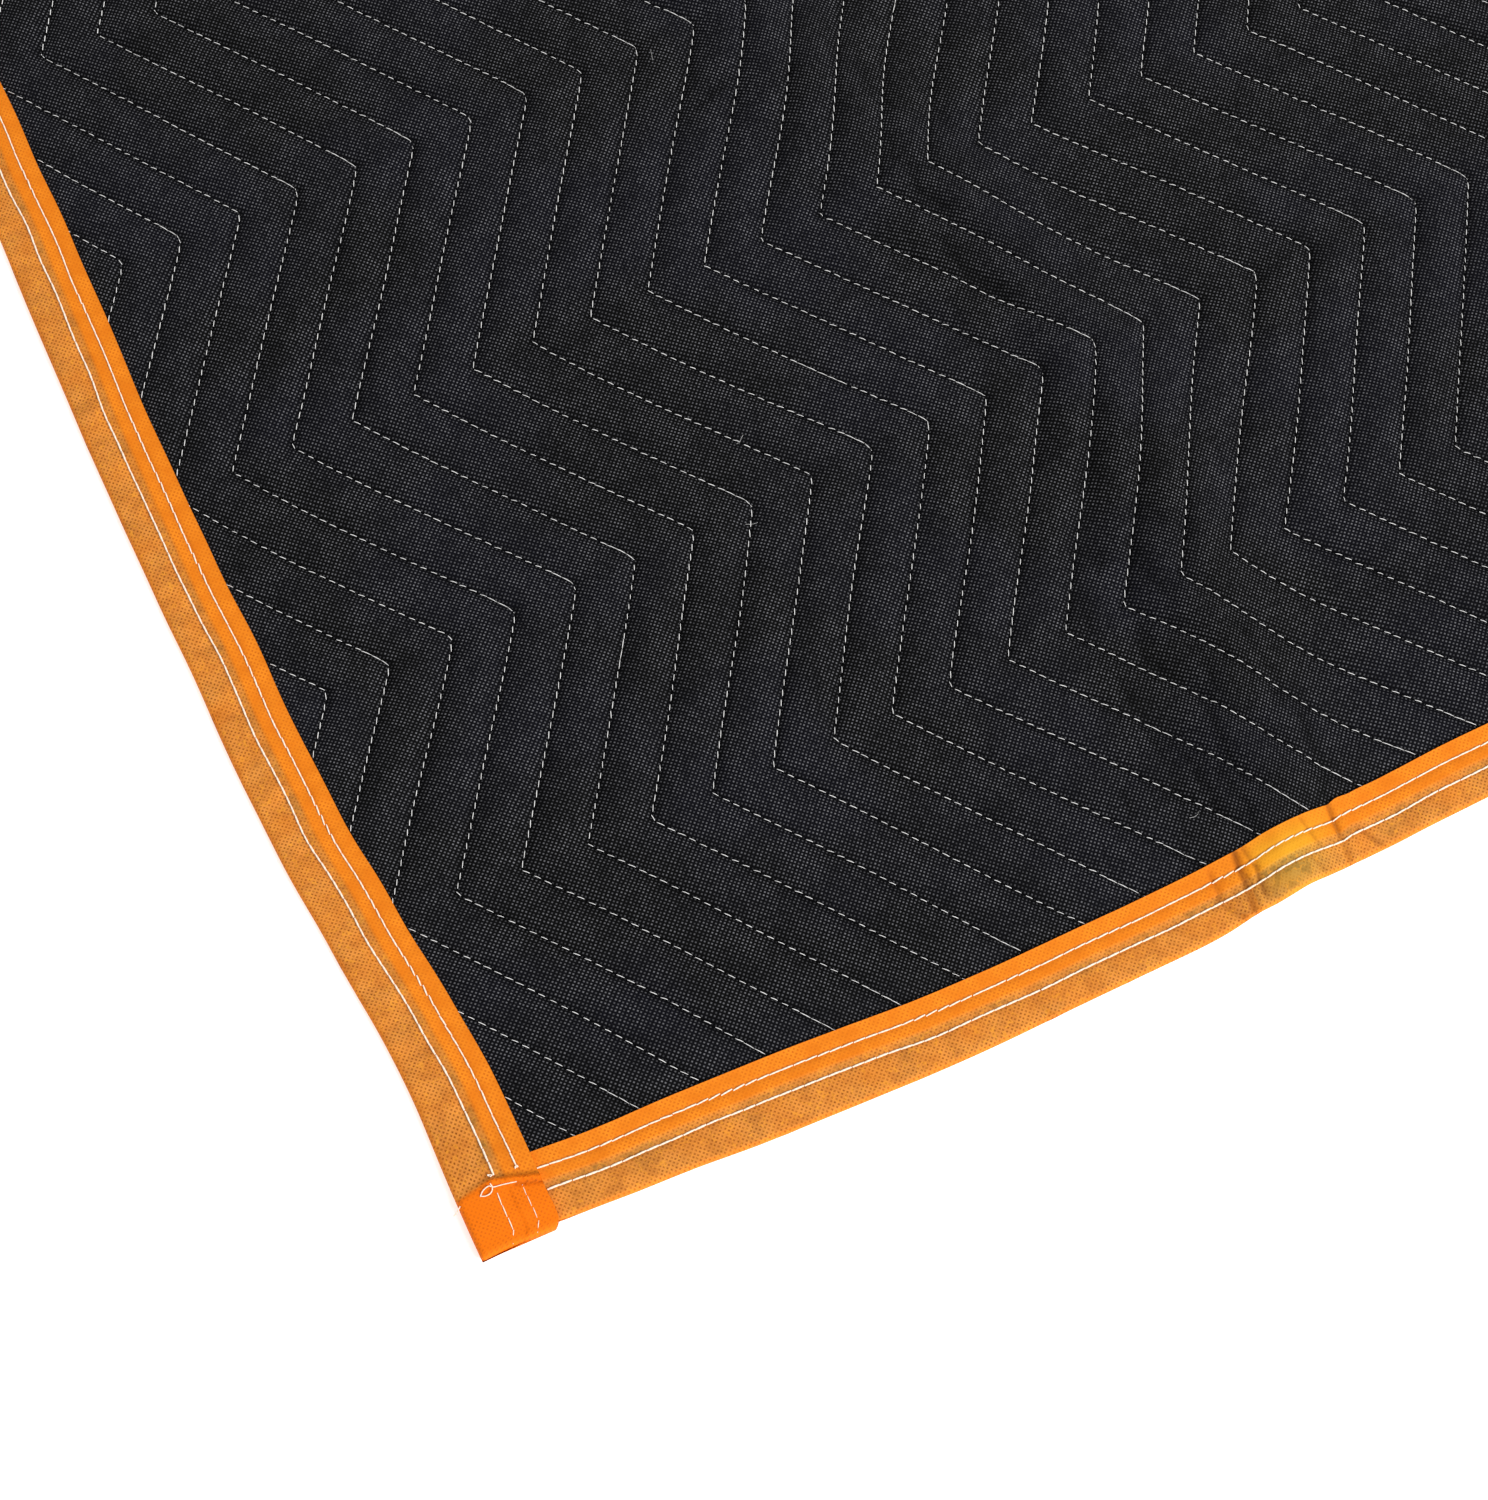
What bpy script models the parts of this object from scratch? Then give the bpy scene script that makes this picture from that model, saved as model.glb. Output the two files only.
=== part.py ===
"""A quilted moving pad that lies flat: a thin padded body sewn in zigzag lines, with an orange binding folded
over each edge. Units are metres, +Z is up, the sewn lines run along Y, and the origin is under the middle."""

import math

import bmesh
import bpy
from mathutils import Matrix, Vector

MM = 0.001
INCH = 25.4 * MM

# The whole pad, measured over its bindings
PAD_WIDTH = 72 * INCH
PAD_LENGTH = 80 * INCH

# Quilting: sewn lines run in zigzags, and the filling puffs up between them
LINE_PITCH = 1 * INCH
HALF_ZIGZAG = 4 * LINE_PITCH
ZIGZAG_REACH = 2.8 * LINE_PITCH
FIRST_CORNER_FROM_FRONT = 1.17 * LINE_PITCH
FIRST_LINE_FROM_LEFT = 0.87 * LINE_PITCH
SEWN_HEIGHT = 2.8 * MM
PUFF_HEIGHT = 4.5 * MM

# Bindings: folded strips whose two layers hold the pad's edge
BINDING_WIDTH = 28 * MM
CLOTH = 1.0 * MM
GAP = 0.3 * MM
LAYER = CLOTH + GAP
EDGE_TOP = 3.8 * MM
BINDING_TOP = EDGE_TOP + LAYER
FOLD_RADIUS = 2.3 * MM
TAB_LENGTH = 22 * MM
TAB_STEP = 1 * MM
RISE_END = 40 * MM

# How it lies: the near left corner is drawn in, the left edge bows, and one soft ripple runs from the front
CORNER_PULL = 18 * MM
CORNER_PULL_ACROSS = 110 * MM
CORNER_PULL_START = 42 * MM
CORNER_PULL_END = 258 * MM
EDGE_BOW = 6.6 * MM
EDGE_BOW_MIDDLE = 538 * MM
EDGE_BOW_SPREAD = 127 * MM
EDGE_BOW_FADE = 152 * MM
RIPPLE_MIDDLE = 342 * MM
RIPPLE_SWAY = 30 * MM
RIPPLE_SWAY_AT = 208 * MM
RIPPLE_SWAY_LENGTH = 325 * MM
RIPPLE_HALF_WIDTH = 45 * MM
RIPPLE_EDGE_HEIGHT = 4 * MM
RIPPLE_HEIGHT = 6.5 * MM
RIPPLE_GROWS_UNTIL = 150 * MM
RIPPLE_FADE_START = 350 * MM
RIPPLE_FADE_END = 660 * MM
PINCH = 3.6 * MM
PINCH_SPREAD = 28 * MM

# Where faces start, in mm from the left or the front edge: close together where the cloth bends
CORNER_STATIONS = [55, 75, 100, 130, 165, 205, 245]
RIPPLE_FRONT_STATIONS = (283, 373, 10)  # first, last and step, where the ripple meets the front edge
RIPPLE_SWAY_STATIONS = [390, 407, 424, 441]
BOW_EDGE_STATIONS = (295, 835, 45)  # first, last and step, where the left edge bows
PLAIN_STATIONS_ACROSS = [480, 540, 700, 1000, 1400]
PLAIN_STATIONS_ALONG = [1000, 1300, 1700]

# Making the faces
FIRST_LINE = -4  # the sewn lines slant, so some that start left of the pad still cross it
RIPPLE_CUTS = 3  # extra points on each leg of a zigzag that the ripple bends
FOLD_STATION = 0.3  # share of the fold's radius where its roundness gets one more row of points
BLOCK_FLOOR = -20 * MM  # the quilted sheet is a block down to here, before the pad's core cuts it
ABOVE_PUFFS = 30 * MM
FACING_UP = 0.9  # a face whose normal rises more than this is a top face
SHARP_DEGREES = 35

# Colours as linear red, green and blue
COVER_BLACK = (0.012, 0.012, 0.014)
COVER_ROUGHNESS = 0.85
BINDING_ORANGE = (0.85, 0.27, 0.02)
BINDING_ROUGHNESS = 0.8


def clamp(value):
    """The value, kept between 0 and 1."""
    return min(max(value, 0.0), 1.0)


def smooth_step(value, start, end):
    """0 before start, 1 after end, and a soft rise between them."""
    t = clamp((value - start) / (end - start))
    return t * t * (3 - 2 * t)


def ripple_middle(from_front):
    """How far from the left edge the ripple runs, at this distance from the front edge."""
    turn = math.pi * (from_front - RIPPLE_SWAY_AT) / RIPPLE_SWAY_LENGTH
    return RIPPLE_MIDDLE + RIPPLE_SWAY * math.cos(turn)


def ripple_strength(from_front):
    """1 near the front, fading to 0 where the ripple ends."""
    return 1 - smooth_step(from_front, RIPPLE_FADE_START, RIPPLE_FADE_END)


def settle(point):
    """Takes a point of the pad as it was sewn to where it lies."""
    from_left = max(point.x + PAD_WIDTH / 2, 0)
    from_front = max(point.y + PAD_LENGTH / 2, 0)
    aside = from_left - ripple_middle(from_front)

    pull = CORNER_PULL * math.exp(-((from_left / CORNER_PULL_ACROSS) ** 1.5))
    pull *= 1 - smooth_step(from_front, CORNER_PULL_START, CORNER_PULL_END)
    bow = EDGE_BOW * math.exp(-(((from_front - EDGE_BOW_MIDDLE) / EDGE_BOW_SPREAD) ** 2))
    bow *= math.exp(-from_left / EDGE_BOW_FADE)
    pinch = PINCH * aside / PINCH_SPREAD * math.exp(-0.5 * (aside / PINCH_SPREAD) ** 2)
    pinch *= ripple_strength(from_front)

    growth = smooth_step(from_front, 0, RIPPLE_GROWS_UNTIL)
    height = RIPPLE_EDGE_HEIGHT + (RIPPLE_HEIGHT - RIPPLE_EDGE_HEIGHT) * growth
    swell = 0.5 + 0.5 * math.cos(math.pi * min(abs(aside) / RIPPLE_HALF_WIDTH, 1))
    lift = height * swell * ripple_strength(from_front)
    return Vector((point.x + bow - pinch, point.y + pull, point.z + lift))


def side_rise(x):
    """How much higher a layer lies where it passes over a side binding's lower layer."""
    from_side = PAD_WIDTH / 2 - abs(x)
    return LAYER * clamp((RISE_END - from_side) / (RISE_END - BINDING_WIDTH - GAP))


def end_rise(y):
    """The same over an end binding's lower layer."""
    from_end = PAD_LENGTH / 2 - abs(y)
    return LAYER * clamp((RISE_END - from_end) / (RISE_END - BINDING_WIDTH - LAYER - GAP))


def fold(inset):
    """How far the rounded fold of a binding lies inside its flat top and bottom, at this inset from the edge."""
    short = FOLD_RADIUS * clamp(1 - inset / FOLD_RADIUS)
    return FOLD_RADIUS - math.sqrt(FOLD_RADIUS**2 - short**2)


def spread(start, end, step):
    """Even places from start to end, about a step apart."""
    count = round((end - start) / step)
    return [start + (end - start) * i / count for i in range(count + 1)]


def stations(half_length, inset, rim, plain):
    """Places from one edge to the other where faces start: a rim at both ends, and the given ones between them."""
    near = [inset, rim, RISE_END] + [place * MM for place in plain]
    far = [2 * half_length - place for place in (RISE_END, rim, inset)]
    return [place - half_length for place in near + far]


RIPPLE_STATIONS = spread(*RIPPLE_FRONT_STATIONS) + RIPPLE_SWAY_STATIONS
ACROSS = CORNER_STATIONS + RIPPLE_STATIONS + PLAIN_STATIONS_ACROSS
ALONG = CORNER_STATIONS + spread(*BOW_EDGE_STATIONS) + PLAIN_STATIONS_ALONG


def slab(name, across, along, low, high):
    """A closed slab with a face for each pair of stations, from low(x, y) up to high(x, y)."""
    mesh = bmesh.new()
    cells_x = len(across) - 1
    cells_y = len(along) - 1
    bmesh.ops.create_grid(mesh, x_segments=cells_x, y_segments=cells_y, size=1)
    for vert in mesh.verts:
        vert.co.x = across[round((vert.co.x + 1) / 2 * cells_x)]
        vert.co.y = along[round((vert.co.y + 1) / 2 * cells_y)]
    bottom = list(mesh.verts)
    raised = bmesh.ops.extrude_face_region(mesh, geom=list(mesh.faces), use_keep_orig=True)
    for vert in raised["geom"]:
        if isinstance(vert, bmesh.types.BMVert):
            vert.co.z = high(vert.co.x, vert.co.y)
    for vert in bottom:
        vert.co.z = low(vert.co.x, vert.co.y)
    return finish_mesh(mesh, name)


def finish_mesh(mesh, name):
    """Closes a bmesh into an object of flat triangles, facing out."""
    bmesh.ops.recalc_face_normals(mesh, faces=list(mesh.faces))
    bmesh.ops.triangulate(mesh, faces=list(mesh.faces))
    data = bpy.data.meshes.new(name)
    mesh.to_mesh(data)
    mesh.free()
    return bpy.data.objects.new(name, data)


def carve(piece, cutter, operation):
    """Runs one exact Boolean, and puts its result in the piece's mesh."""
    scene = bpy.context.scene.collection
    scene.objects.link(piece)
    scene.objects.link(cutter)
    boolean = piece.modifiers.new("carve", "BOOLEAN")
    boolean.operation = operation
    boolean.object = cutter
    depsgraph = bpy.context.evaluated_depsgraph_get()
    carved = bpy.data.meshes.new_from_object(piece.evaluated_get(depsgraph))
    piece.modifiers.clear()
    sewn = piece.data
    piece.data = carved
    carved.name = piece.name
    scene.objects.unlink(piece)
    bpy.data.meshes.remove(sewn)
    bpy.data.meshes.remove(cutter.data)
    return piece


def principled(name, color, roughness):
    """A plain shader of this colour."""
    material = bpy.data.materials.new(name)
    material.use_nodes = True
    shader = material.node_tree.nodes["Principled BSDF"]
    shader.inputs["Base Color"].default_value = (*color, 1)
    shader.inputs["Roughness"].default_value = roughness
    shader.inputs["Metallic"].default_value = 0
    material.diffuse_color = (*color, 1)
    return material


def lay_down(piece, material, parent, collection, origin):
    """Settles a sewn piece where it lies, dresses it and hangs it on its parent, with its origin as given."""
    data = piece.data
    for vert in data.vertices:
        vert.co = settle(vert.co)
    data.transform(Matrix.Translation(-origin))
    data.materials.clear()
    data.materials.append(material)
    data.shade_smooth()
    data.set_sharp_from_angle(angle=math.radians(SHARP_DEGREES))
    piece.location = origin
    piece.parent = parent
    collection.objects.link(piece)


def zigzag(from_front):
    """X of a sewn line at this distance from the front edge, counted from the line's left corners."""
    turn = (from_front - FIRST_CORNER_FROM_FRONT) / HALF_ZIGZAG
    return ZIGZAG_REACH * abs(turn % 2 - 1)


def quilted_sheet():
    """The pad's puffed top over a deep block, larger than the pad, with faces that follow the sewn lines."""
    last_line = math.ceil(PAD_WIDTH / LINE_PITCH) + 1
    first_row = -1
    last_row = math.ceil(PAD_LENGTH / HALF_ZIGZAG)
    columns = 2 * (last_line - FIRST_LINE)
    rows = last_row - first_row
    mesh = bmesh.new()
    bmesh.ops.create_grid(mesh, x_segments=columns, y_segments=rows, size=1)
    for vert in mesh.verts:
        column = round((vert.co.x + 1) / 2 * columns)
        row = first_row + round((vert.co.y + 1) / 2 * rows)
        from_front = FIRST_CORNER_FROM_FRONT + row * HALF_ZIGZAG
        line = FIRST_LINE + column / 2
        from_left = FIRST_LINE_FROM_LEFT + line * LINE_PITCH + zigzag(from_front)
        vert.co.x = from_left - PAD_WIDTH / 2
        vert.co.y = from_front - PAD_LENGTH / 2
        vert.co.z = SEWN_HEIGHT if column % 2 == 0 else PUFF_HEIGHT
    divide_ripple(mesh)
    top = list(mesh.verts)
    rim = [edge for edge in mesh.edges if edge.is_boundary]
    sides = bmesh.ops.extrude_edge_only(mesh, edges=rim)["geom"]
    for vert in sides:
        if isinstance(vert, bmesh.types.BMVert):
            vert.co.z = BLOCK_FLOOR
    floor_edges = [item for item in sides if isinstance(item, bmesh.types.BMEdge)]
    bmesh.ops.contextual_create(mesh, geom=[edge for edge in floor_edges if edge.is_boundary])
    return finish_mesh(mesh, "pad")


def divide_ripple(mesh):
    """Adds faces along the sewn lines where the ripple will bend them."""
    legs = set()
    for face in mesh.faces:
        middle = face.calc_center_median()
        from_left = middle.x + PAD_WIDTH / 2
        from_front = middle.y + PAD_LENGTH / 2
        near = abs(from_left - ripple_middle(from_front)) < RIPPLE_HALF_WIDTH + LINE_PITCH
        if near and from_front < RIPPLE_FADE_END:
            legs.update(edge for edge in face.edges if abs(edge.verts[0].co.y - edge.verts[1].co.y) > GAP)
    bmesh.ops.subdivide_edges(mesh, edges=list(legs), cuts=RIPPLE_CUTS, use_grid_fill=True)


def pad_core():
    """The pad without its puffs: its underside, its edges, and its thin rim between the bindings' layers."""
    across = stations(PAD_WIDTH / 2, LAYER, BINDING_WIDTH + GAP, ACROSS)
    along = stations(PAD_LENGTH / 2, 2 * LAYER, BINDING_WIDTH + LAYER + GAP, ALONG)

    def low(x, y):
        return side_rise(x) + end_rise(y)

    core = slab("core", across, along, low, lambda x, y: EDGE_TOP)
    mesh = bmesh.new()
    mesh.from_mesh(core.data)
    inner_x = across[-2] - GAP / 2
    inner_y = along[-2] - GAP / 2
    inner = []
    for face in mesh.faces:
        middle = face.calc_center_median()
        inside = abs(middle.x) < inner_x and abs(middle.y) < inner_y
        if inside and face.normal.z > FACING_UP:
            inner.append(face)
    lifted = bmesh.ops.extrude_face_region(mesh, geom=inner, use_keep_orig=True)["geom"]
    bmesh.ops.delete(mesh, geom=inner, context="FACES")
    for vert in lifted:
        if isinstance(vert, bmesh.types.BMVert):
            vert.co.z = ABOVE_PUFFS
    mesh.to_mesh(core.data)
    mesh.free()
    return core


def side_binding(name, side):
    """A strip folded over a side, side -1 for the left one. Its ends close over the end bindings as raised tabs."""
    edge = side * PAD_WIDTH / 2
    insets = [0, FOLD_STATION * FOLD_RADIUS, FOLD_RADIUS, BINDING_WIDTH]
    across = sorted(edge - side * inset for inset in insets)
    tab = [TAB_LENGTH, TAB_LENGTH + TAB_STEP, BINDING_WIDTH + LAYER + GAP, RISE_END]
    plain = [place * MM for place in (ALONG if side < 0 else PLAIN_STATIONS_ALONG)]
    near = [0] + tab + plain
    along = [place - PAD_LENGTH / 2 for place in near] + [PAD_LENGTH / 2 - place for place in tab[::-1] + [0]]

    def low(x, y):
        return fold(PAD_WIDTH / 2 - abs(x))

    def high(x, y):
        from_end = PAD_LENGTH / 2 - abs(y)
        tab_height = CLOTH * clamp((TAB_LENGTH + TAB_STEP - from_end) / TAB_STEP)
        return BINDING_TOP + end_rise(y) + tab_height - fold(PAD_WIDTH / 2 - abs(x))

    strip = slab(name, across, along, low, high)
    inside_across = sorted(edge - side * inset for inset in (CLOTH, BINDING_WIDTH + CLOTH))
    inside_near = [CLOTH] + tab[2:] + plain
    inside_far = [PAD_LENGTH / 2 - place for place in (RISE_END, tab[2], CLOTH)]
    inside_along = [place - PAD_LENGTH / 2 for place in inside_near] + inside_far
    room = slab(
        "room", inside_across, inside_along, lambda x, y: CLOTH, lambda x, y: BINDING_TOP - CLOTH + end_rise(y)
    )
    return carve(strip, room, "DIFFERENCE")


def end_binding(name, end):
    """A strip folded over an end, end -1 for the front one. It runs inside both side bindings."""
    edge = end * (PAD_LENGTH / 2 - LAYER)
    insets = [0, FOLD_STATION * FOLD_RADIUS, FOLD_RADIUS, BINDING_WIDTH]
    along = sorted(edge - end * inset for inset in insets)
    plain = ACROSS if end < 0 else PLAIN_STATIONS_ACROSS
    across = stations(PAD_WIDTH / 2, LAYER, BINDING_WIDTH + GAP, plain)

    def inset_of(y):
        """How far in from the strip's outer edge this is."""
        return abs(edge) - abs(y)

    def low(x, y):
        return side_rise(x) + fold(inset_of(y))

    def high(x, y):
        return BINDING_TOP - fold(inset_of(y))

    strip = slab(name, across, along, low, high)
    inside_along = sorted(edge - end * inset for inset in (CLOTH, BINDING_WIDTH + CLOTH))
    inside_across = stations(PAD_WIDTH / 2, 0, BINDING_WIDTH + GAP, plain)
    room = slab(
        "room", inside_across, inside_along, lambda x, y: side_rise(x) + CLOTH, lambda x, y: BINDING_TOP - CLOTH
    )
    return carve(strip, room, "DIFFERENCE")


def main():
    """Clears the file, makes the five pieces and lays them down."""
    for old in list(bpy.data.objects):
        bpy.data.objects.remove(old, do_unlink=True)

    collection = bpy.data.collections.new("moving_pad")
    bpy.context.scene.collection.children.link(collection)
    root = bpy.data.objects.new("moving_pad", None)
    collection.objects.link(root)

    pad = carve(quilted_sheet(), pad_core(), "INTERSECT")
    cover = principled("black_nonwoven_cover", COVER_BLACK, COVER_ROUGHNESS)
    lay_down(pad, cover, root, collection, Vector((0, 0, 0)))

    for name, side in (("binding_left", -1), ("binding_right", 1)):
        material = principled("orange_nonwoven_" + name, BINDING_ORANGE, BINDING_ROUGHNESS)
        origin = Vector((side * PAD_WIDTH / 2, 0, 0))
        lay_down(side_binding(name, side), material, root, collection, origin)

    for name, end in (("binding_front", -1), ("binding_back", 1)):
        material = principled("orange_nonwoven_" + name, BINDING_ORANGE, BINDING_ROUGHNESS)
        origin = Vector((0, end * PAD_LENGTH / 2, 0))
        lay_down(end_binding(name, end), material, root, collection, origin)


main()
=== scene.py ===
# %% [markdown]
# A quilted moving pad, dressed for its picture. On the real object a thin black nonwoven cover is sewn over
# a little filling in zigzag lines, and a strip of orange nonwoven is folded over each edge and sewn down
# twice. The plain solids of the frame say where everything is. This script covers them with finer meshes,
# down to each stitch, so that a close view shows what a maker's machine leaves behind.

# %% Load the frame
import math
from functools import partial

import bpy
import numpy as np
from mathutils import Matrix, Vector


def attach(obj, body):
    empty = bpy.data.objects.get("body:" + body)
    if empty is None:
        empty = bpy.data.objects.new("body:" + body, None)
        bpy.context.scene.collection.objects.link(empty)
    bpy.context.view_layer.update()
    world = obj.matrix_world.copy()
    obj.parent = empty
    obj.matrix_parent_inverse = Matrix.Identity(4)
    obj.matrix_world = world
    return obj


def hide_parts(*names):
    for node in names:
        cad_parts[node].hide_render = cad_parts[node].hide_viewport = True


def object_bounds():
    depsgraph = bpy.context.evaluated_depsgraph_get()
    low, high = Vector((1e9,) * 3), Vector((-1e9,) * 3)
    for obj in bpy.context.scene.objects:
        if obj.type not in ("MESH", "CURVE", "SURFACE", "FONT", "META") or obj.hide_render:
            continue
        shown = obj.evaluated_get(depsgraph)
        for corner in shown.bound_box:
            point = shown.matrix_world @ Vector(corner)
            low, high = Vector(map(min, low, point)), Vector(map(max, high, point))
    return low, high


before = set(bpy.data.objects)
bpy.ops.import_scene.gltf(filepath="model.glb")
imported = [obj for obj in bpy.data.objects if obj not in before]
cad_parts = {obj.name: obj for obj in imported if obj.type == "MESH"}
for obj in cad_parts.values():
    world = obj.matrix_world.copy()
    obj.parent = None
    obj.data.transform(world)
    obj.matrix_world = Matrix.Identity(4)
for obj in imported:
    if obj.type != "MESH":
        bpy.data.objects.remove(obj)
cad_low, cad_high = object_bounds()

MM = 0.001
INCH = 25.4 * MM
WIDTH = cad_high.x - cad_low.x
LENGTH = cad_high.y - cad_low.y
print(f"the pad is {WIDTH / MM:.0f} mm wide and {LENGTH / MM:.0f} mm long")

# %% [markdown]
# The camera comes first, because every later choice is judged through it. It looks down on the near left
# corner from a little over a metre, with a long lens that keeps the sewn lines almost parallel.

# %% Camera
CAMERA_PLACE = (-0.974, -1.206, 1.052)
CAMERA_TURN_DEGREES = (20.92, -2.69, -27.48)
LENS = 72
SENSOR = 36

camera_data = bpy.data.cameras.new("camera")
camera_data.lens = LENS
camera_data.sensor_width = SENSOR
camera = bpy.data.objects.new("camera", camera_data)
camera.location = CAMERA_PLACE
camera.rotation_euler = [math.radians(turn) for turn in CAMERA_TURN_DEGREES]
bpy.context.scene.collection.objects.link(camera)
bpy.context.scene.camera = camera
print(f"the lens sees {math.degrees(2 * math.atan(SENSOR / 2 / LENS)):.0f} degrees")

# %% [markdown]
# A real pad is sewn flat and then thrown down, so it never lies quite square. The solids were drawn flat
# and moved by one rule, and the finer pieces follow the same rule: the near left corner is drawn in, the
# left edge bows, and one soft ripple runs from the front edge. Working in flat, sewn places keeps every
# piece together. The cover also slid a few millimetres over its filling in places, which bends the sewn
# lines a little.

# %% How the pad lies
CORNER_PULL = 18 * MM
CORNER_PULL_ACROSS = 110 * MM
CORNER_PULL_START = 42 * MM
CORNER_PULL_END = 258 * MM
EDGE_BOW = 6.6 * MM
EDGE_BOW_MIDDLE = 538 * MM
EDGE_BOW_SPREAD = 127 * MM
EDGE_BOW_FADE = 152 * MM
RIPPLE_MIDDLE = 342 * MM
RIPPLE_SWAY = 30 * MM
RIPPLE_SWAY_AT = 208 * MM
RIPPLE_SWAY_LENGTH = 325 * MM
RIPPLE_HALF_WIDTH = 45 * MM
RIPPLE_EDGE_HEIGHT = 4 * MM
RIPPLE_HEIGHT = 6.5 * MM
RIPPLE_GROWS_UNTIL = 150 * MM
RIPPLE_FADE_START = 350 * MM
RIPPLE_FADE_END = 660 * MM
PINCH = 3.6 * MM
PINCH_SPREAD = 28 * MM


def smooth_step(value, start, end):
    t = np.clip((value - start) / (end - start), 0, 1)
    return t * t * (3 - 2 * t)


def settle(from_left, from_front, height):
    """Points in the frame where the sewn places come to lie, one row each."""
    left = np.maximum(from_left, 0)
    front = np.maximum(from_front, 0)
    turn = math.pi * (front - RIPPLE_SWAY_AT) / RIPPLE_SWAY_LENGTH
    aside = left - RIPPLE_MIDDLE - RIPPLE_SWAY * np.cos(turn)
    strength = 1 - smooth_step(front, RIPPLE_FADE_START, RIPPLE_FADE_END)
    pull = CORNER_PULL * np.exp(-((left / CORNER_PULL_ACROSS) ** 1.5))
    pull = pull * (1 - smooth_step(front, CORNER_PULL_START, CORNER_PULL_END))
    bow = EDGE_BOW * np.exp(-(((front - EDGE_BOW_MIDDLE) / EDGE_BOW_SPREAD) ** 2) - left / EDGE_BOW_FADE)
    pinch = PINCH * aside / PINCH_SPREAD * np.exp(-0.5 * (aside / PINCH_SPREAD) ** 2) * strength
    growth = smooth_step(front, 0, RIPPLE_GROWS_UNTIL)
    crest = RIPPLE_EDGE_HEIGHT + (RIPPLE_HEIGHT - RIPPLE_EDGE_HEIGHT) * growth
    swell = 0.5 + 0.5 * np.cos(math.pi * np.minimum(abs(aside) / RIPPLE_HALF_WIDTH, 1))
    x = from_left - WIDTH / 2 + bow - pinch
    y = from_front - LENGTH / 2 + pull
    return np.stack(np.broadcast_arrays(x, y, height + crest * swell * strength), axis=-1)


SLIPS = [  # middle from the left and the front edge, push to the right and back, and reach, all in mm
    (120, 40, 4, -0.8, 120),
    (365, 75, -4, -0.9, 68),
    (312, 66, 2.2, 0.9, 45),
    (60, 305, -3, -1.9, 74),
    (176, 291, -1.5, -2.5, 65),
    (368, 272, -2.4, -1.5, 30),
    (36, 185, -1.6, 2.4, 58),
    (286, 206, 2.3, 0.5, 48),
    (190, 482, 1.6, -0.5, 85),
    (512, 212, 1.2, 1, 110),
]
SLIP_START = 4 * MM
SLIP_END = 24 * MM


def slipped(from_left, from_front):
    """Where a place sewn on the cover lies on the flat pad, now that the cover has slid."""
    fade = smooth_step(from_left, SLIP_START, SLIP_END) * smooth_step(from_front, SLIP_START, SLIP_END)
    left, front = from_left, from_front
    for x, y, push_x, push_y, reach in SLIPS:
        near = fade * np.exp(-((from_left - x * MM) ** 2 + (from_front - y * MM) ** 2) / (reach * MM) ** 2)
        left = left + push_x * MM * near
        front = front + push_y * MM * near
    return left, front


corner = settle(0.0, 0.0, 0.0)
print(f"the near left corner lies {(corner[1] + LENGTH / 2) / MM:.0f} mm back from the front line")

# %% [markdown]
# Cloth is never even. Real unevenness has a size, such as lumps of filling a few centimetres across, so one
# helper adds up a few sine waves of about that size in random directions. Its random numbers are seeded, so
# the pad is the same each time. A second helper runs a smooth curve through a few measured places, and a
# third says how strongly each of the creases, which are given as paths, acts at a place beside it.

# %% Uneven heights, curves and creases
def uneven(x, y, size, seed, waves=14):
    """A smooth field of about -1 to 1 whose lumps are about this size."""
    draw = np.random.default_rng(seed)
    total = 0
    for _ in range(waves):
        angle = draw.uniform(0, math.tau)
        length = 2 * size * draw.uniform(0.7, 1.5)
        phase = draw.uniform(0, math.tau)
        total = total + np.sin(math.tau * (x * math.cos(angle) + y * math.sin(angle)) / length + phase)
    return total / math.sqrt(waves)


def through(at, places, values):
    """Values at these places on one smooth curve through the measured ones."""
    places, values = np.array(places, float), np.array(values, float)
    slopes = np.gradient(values, places)
    step = np.clip(np.searchsorted(places, at, side="right") - 1, 0, len(places) - 2)
    width = places[step + 1] - places[step]
    t = np.clip((at - places[step]) / width, 0, 1)
    rise = values[step + 1] - values[step]
    start, end = width * slopes[step], width * slopes[step + 1]
    return values[step] + t * start + t**2 * (3 * rise - 2 * start - end) + t**3 * (start + end - 2 * rise)


def near_path(x, y, path, reach):
    """1 on a chain of straight runs, fading to 0 beside it. The path and its reach are in mm."""
    metres = [(a * MM, b * MM) for a, b in path]
    nearest = np.full(np.broadcast(x, y).shape, np.inf)
    for (x0, y0), (x1, y1) in zip(metres, metres[1:]):
        run_x, run_y = x1 - x0, y1 - y0
        share = np.clip(((x - x0) * run_x + (y - y0) * run_y) / (run_x**2 + run_y**2), 0, 1)
        nearest = np.minimum(nearest, np.hypot(x - x0 - share * run_x, y - y0 - share * run_y))
    return np.exp(-((nearest / (reach * MM)) ** 2))


sample = uneven(np.linspace(0, 1, 500), 0.0, 30 * MM, 1)
print(f"lumps run from {sample.min():.1f} to {sample.max():.1f}")

# %% [markdown]
# A mesh that Python fills in one go needs points, faces and a UV map. Here the UV map holds the flat, sewn
# place in metres, because woven and embossed patterns are made before sewing and bend with the cloth.

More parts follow.
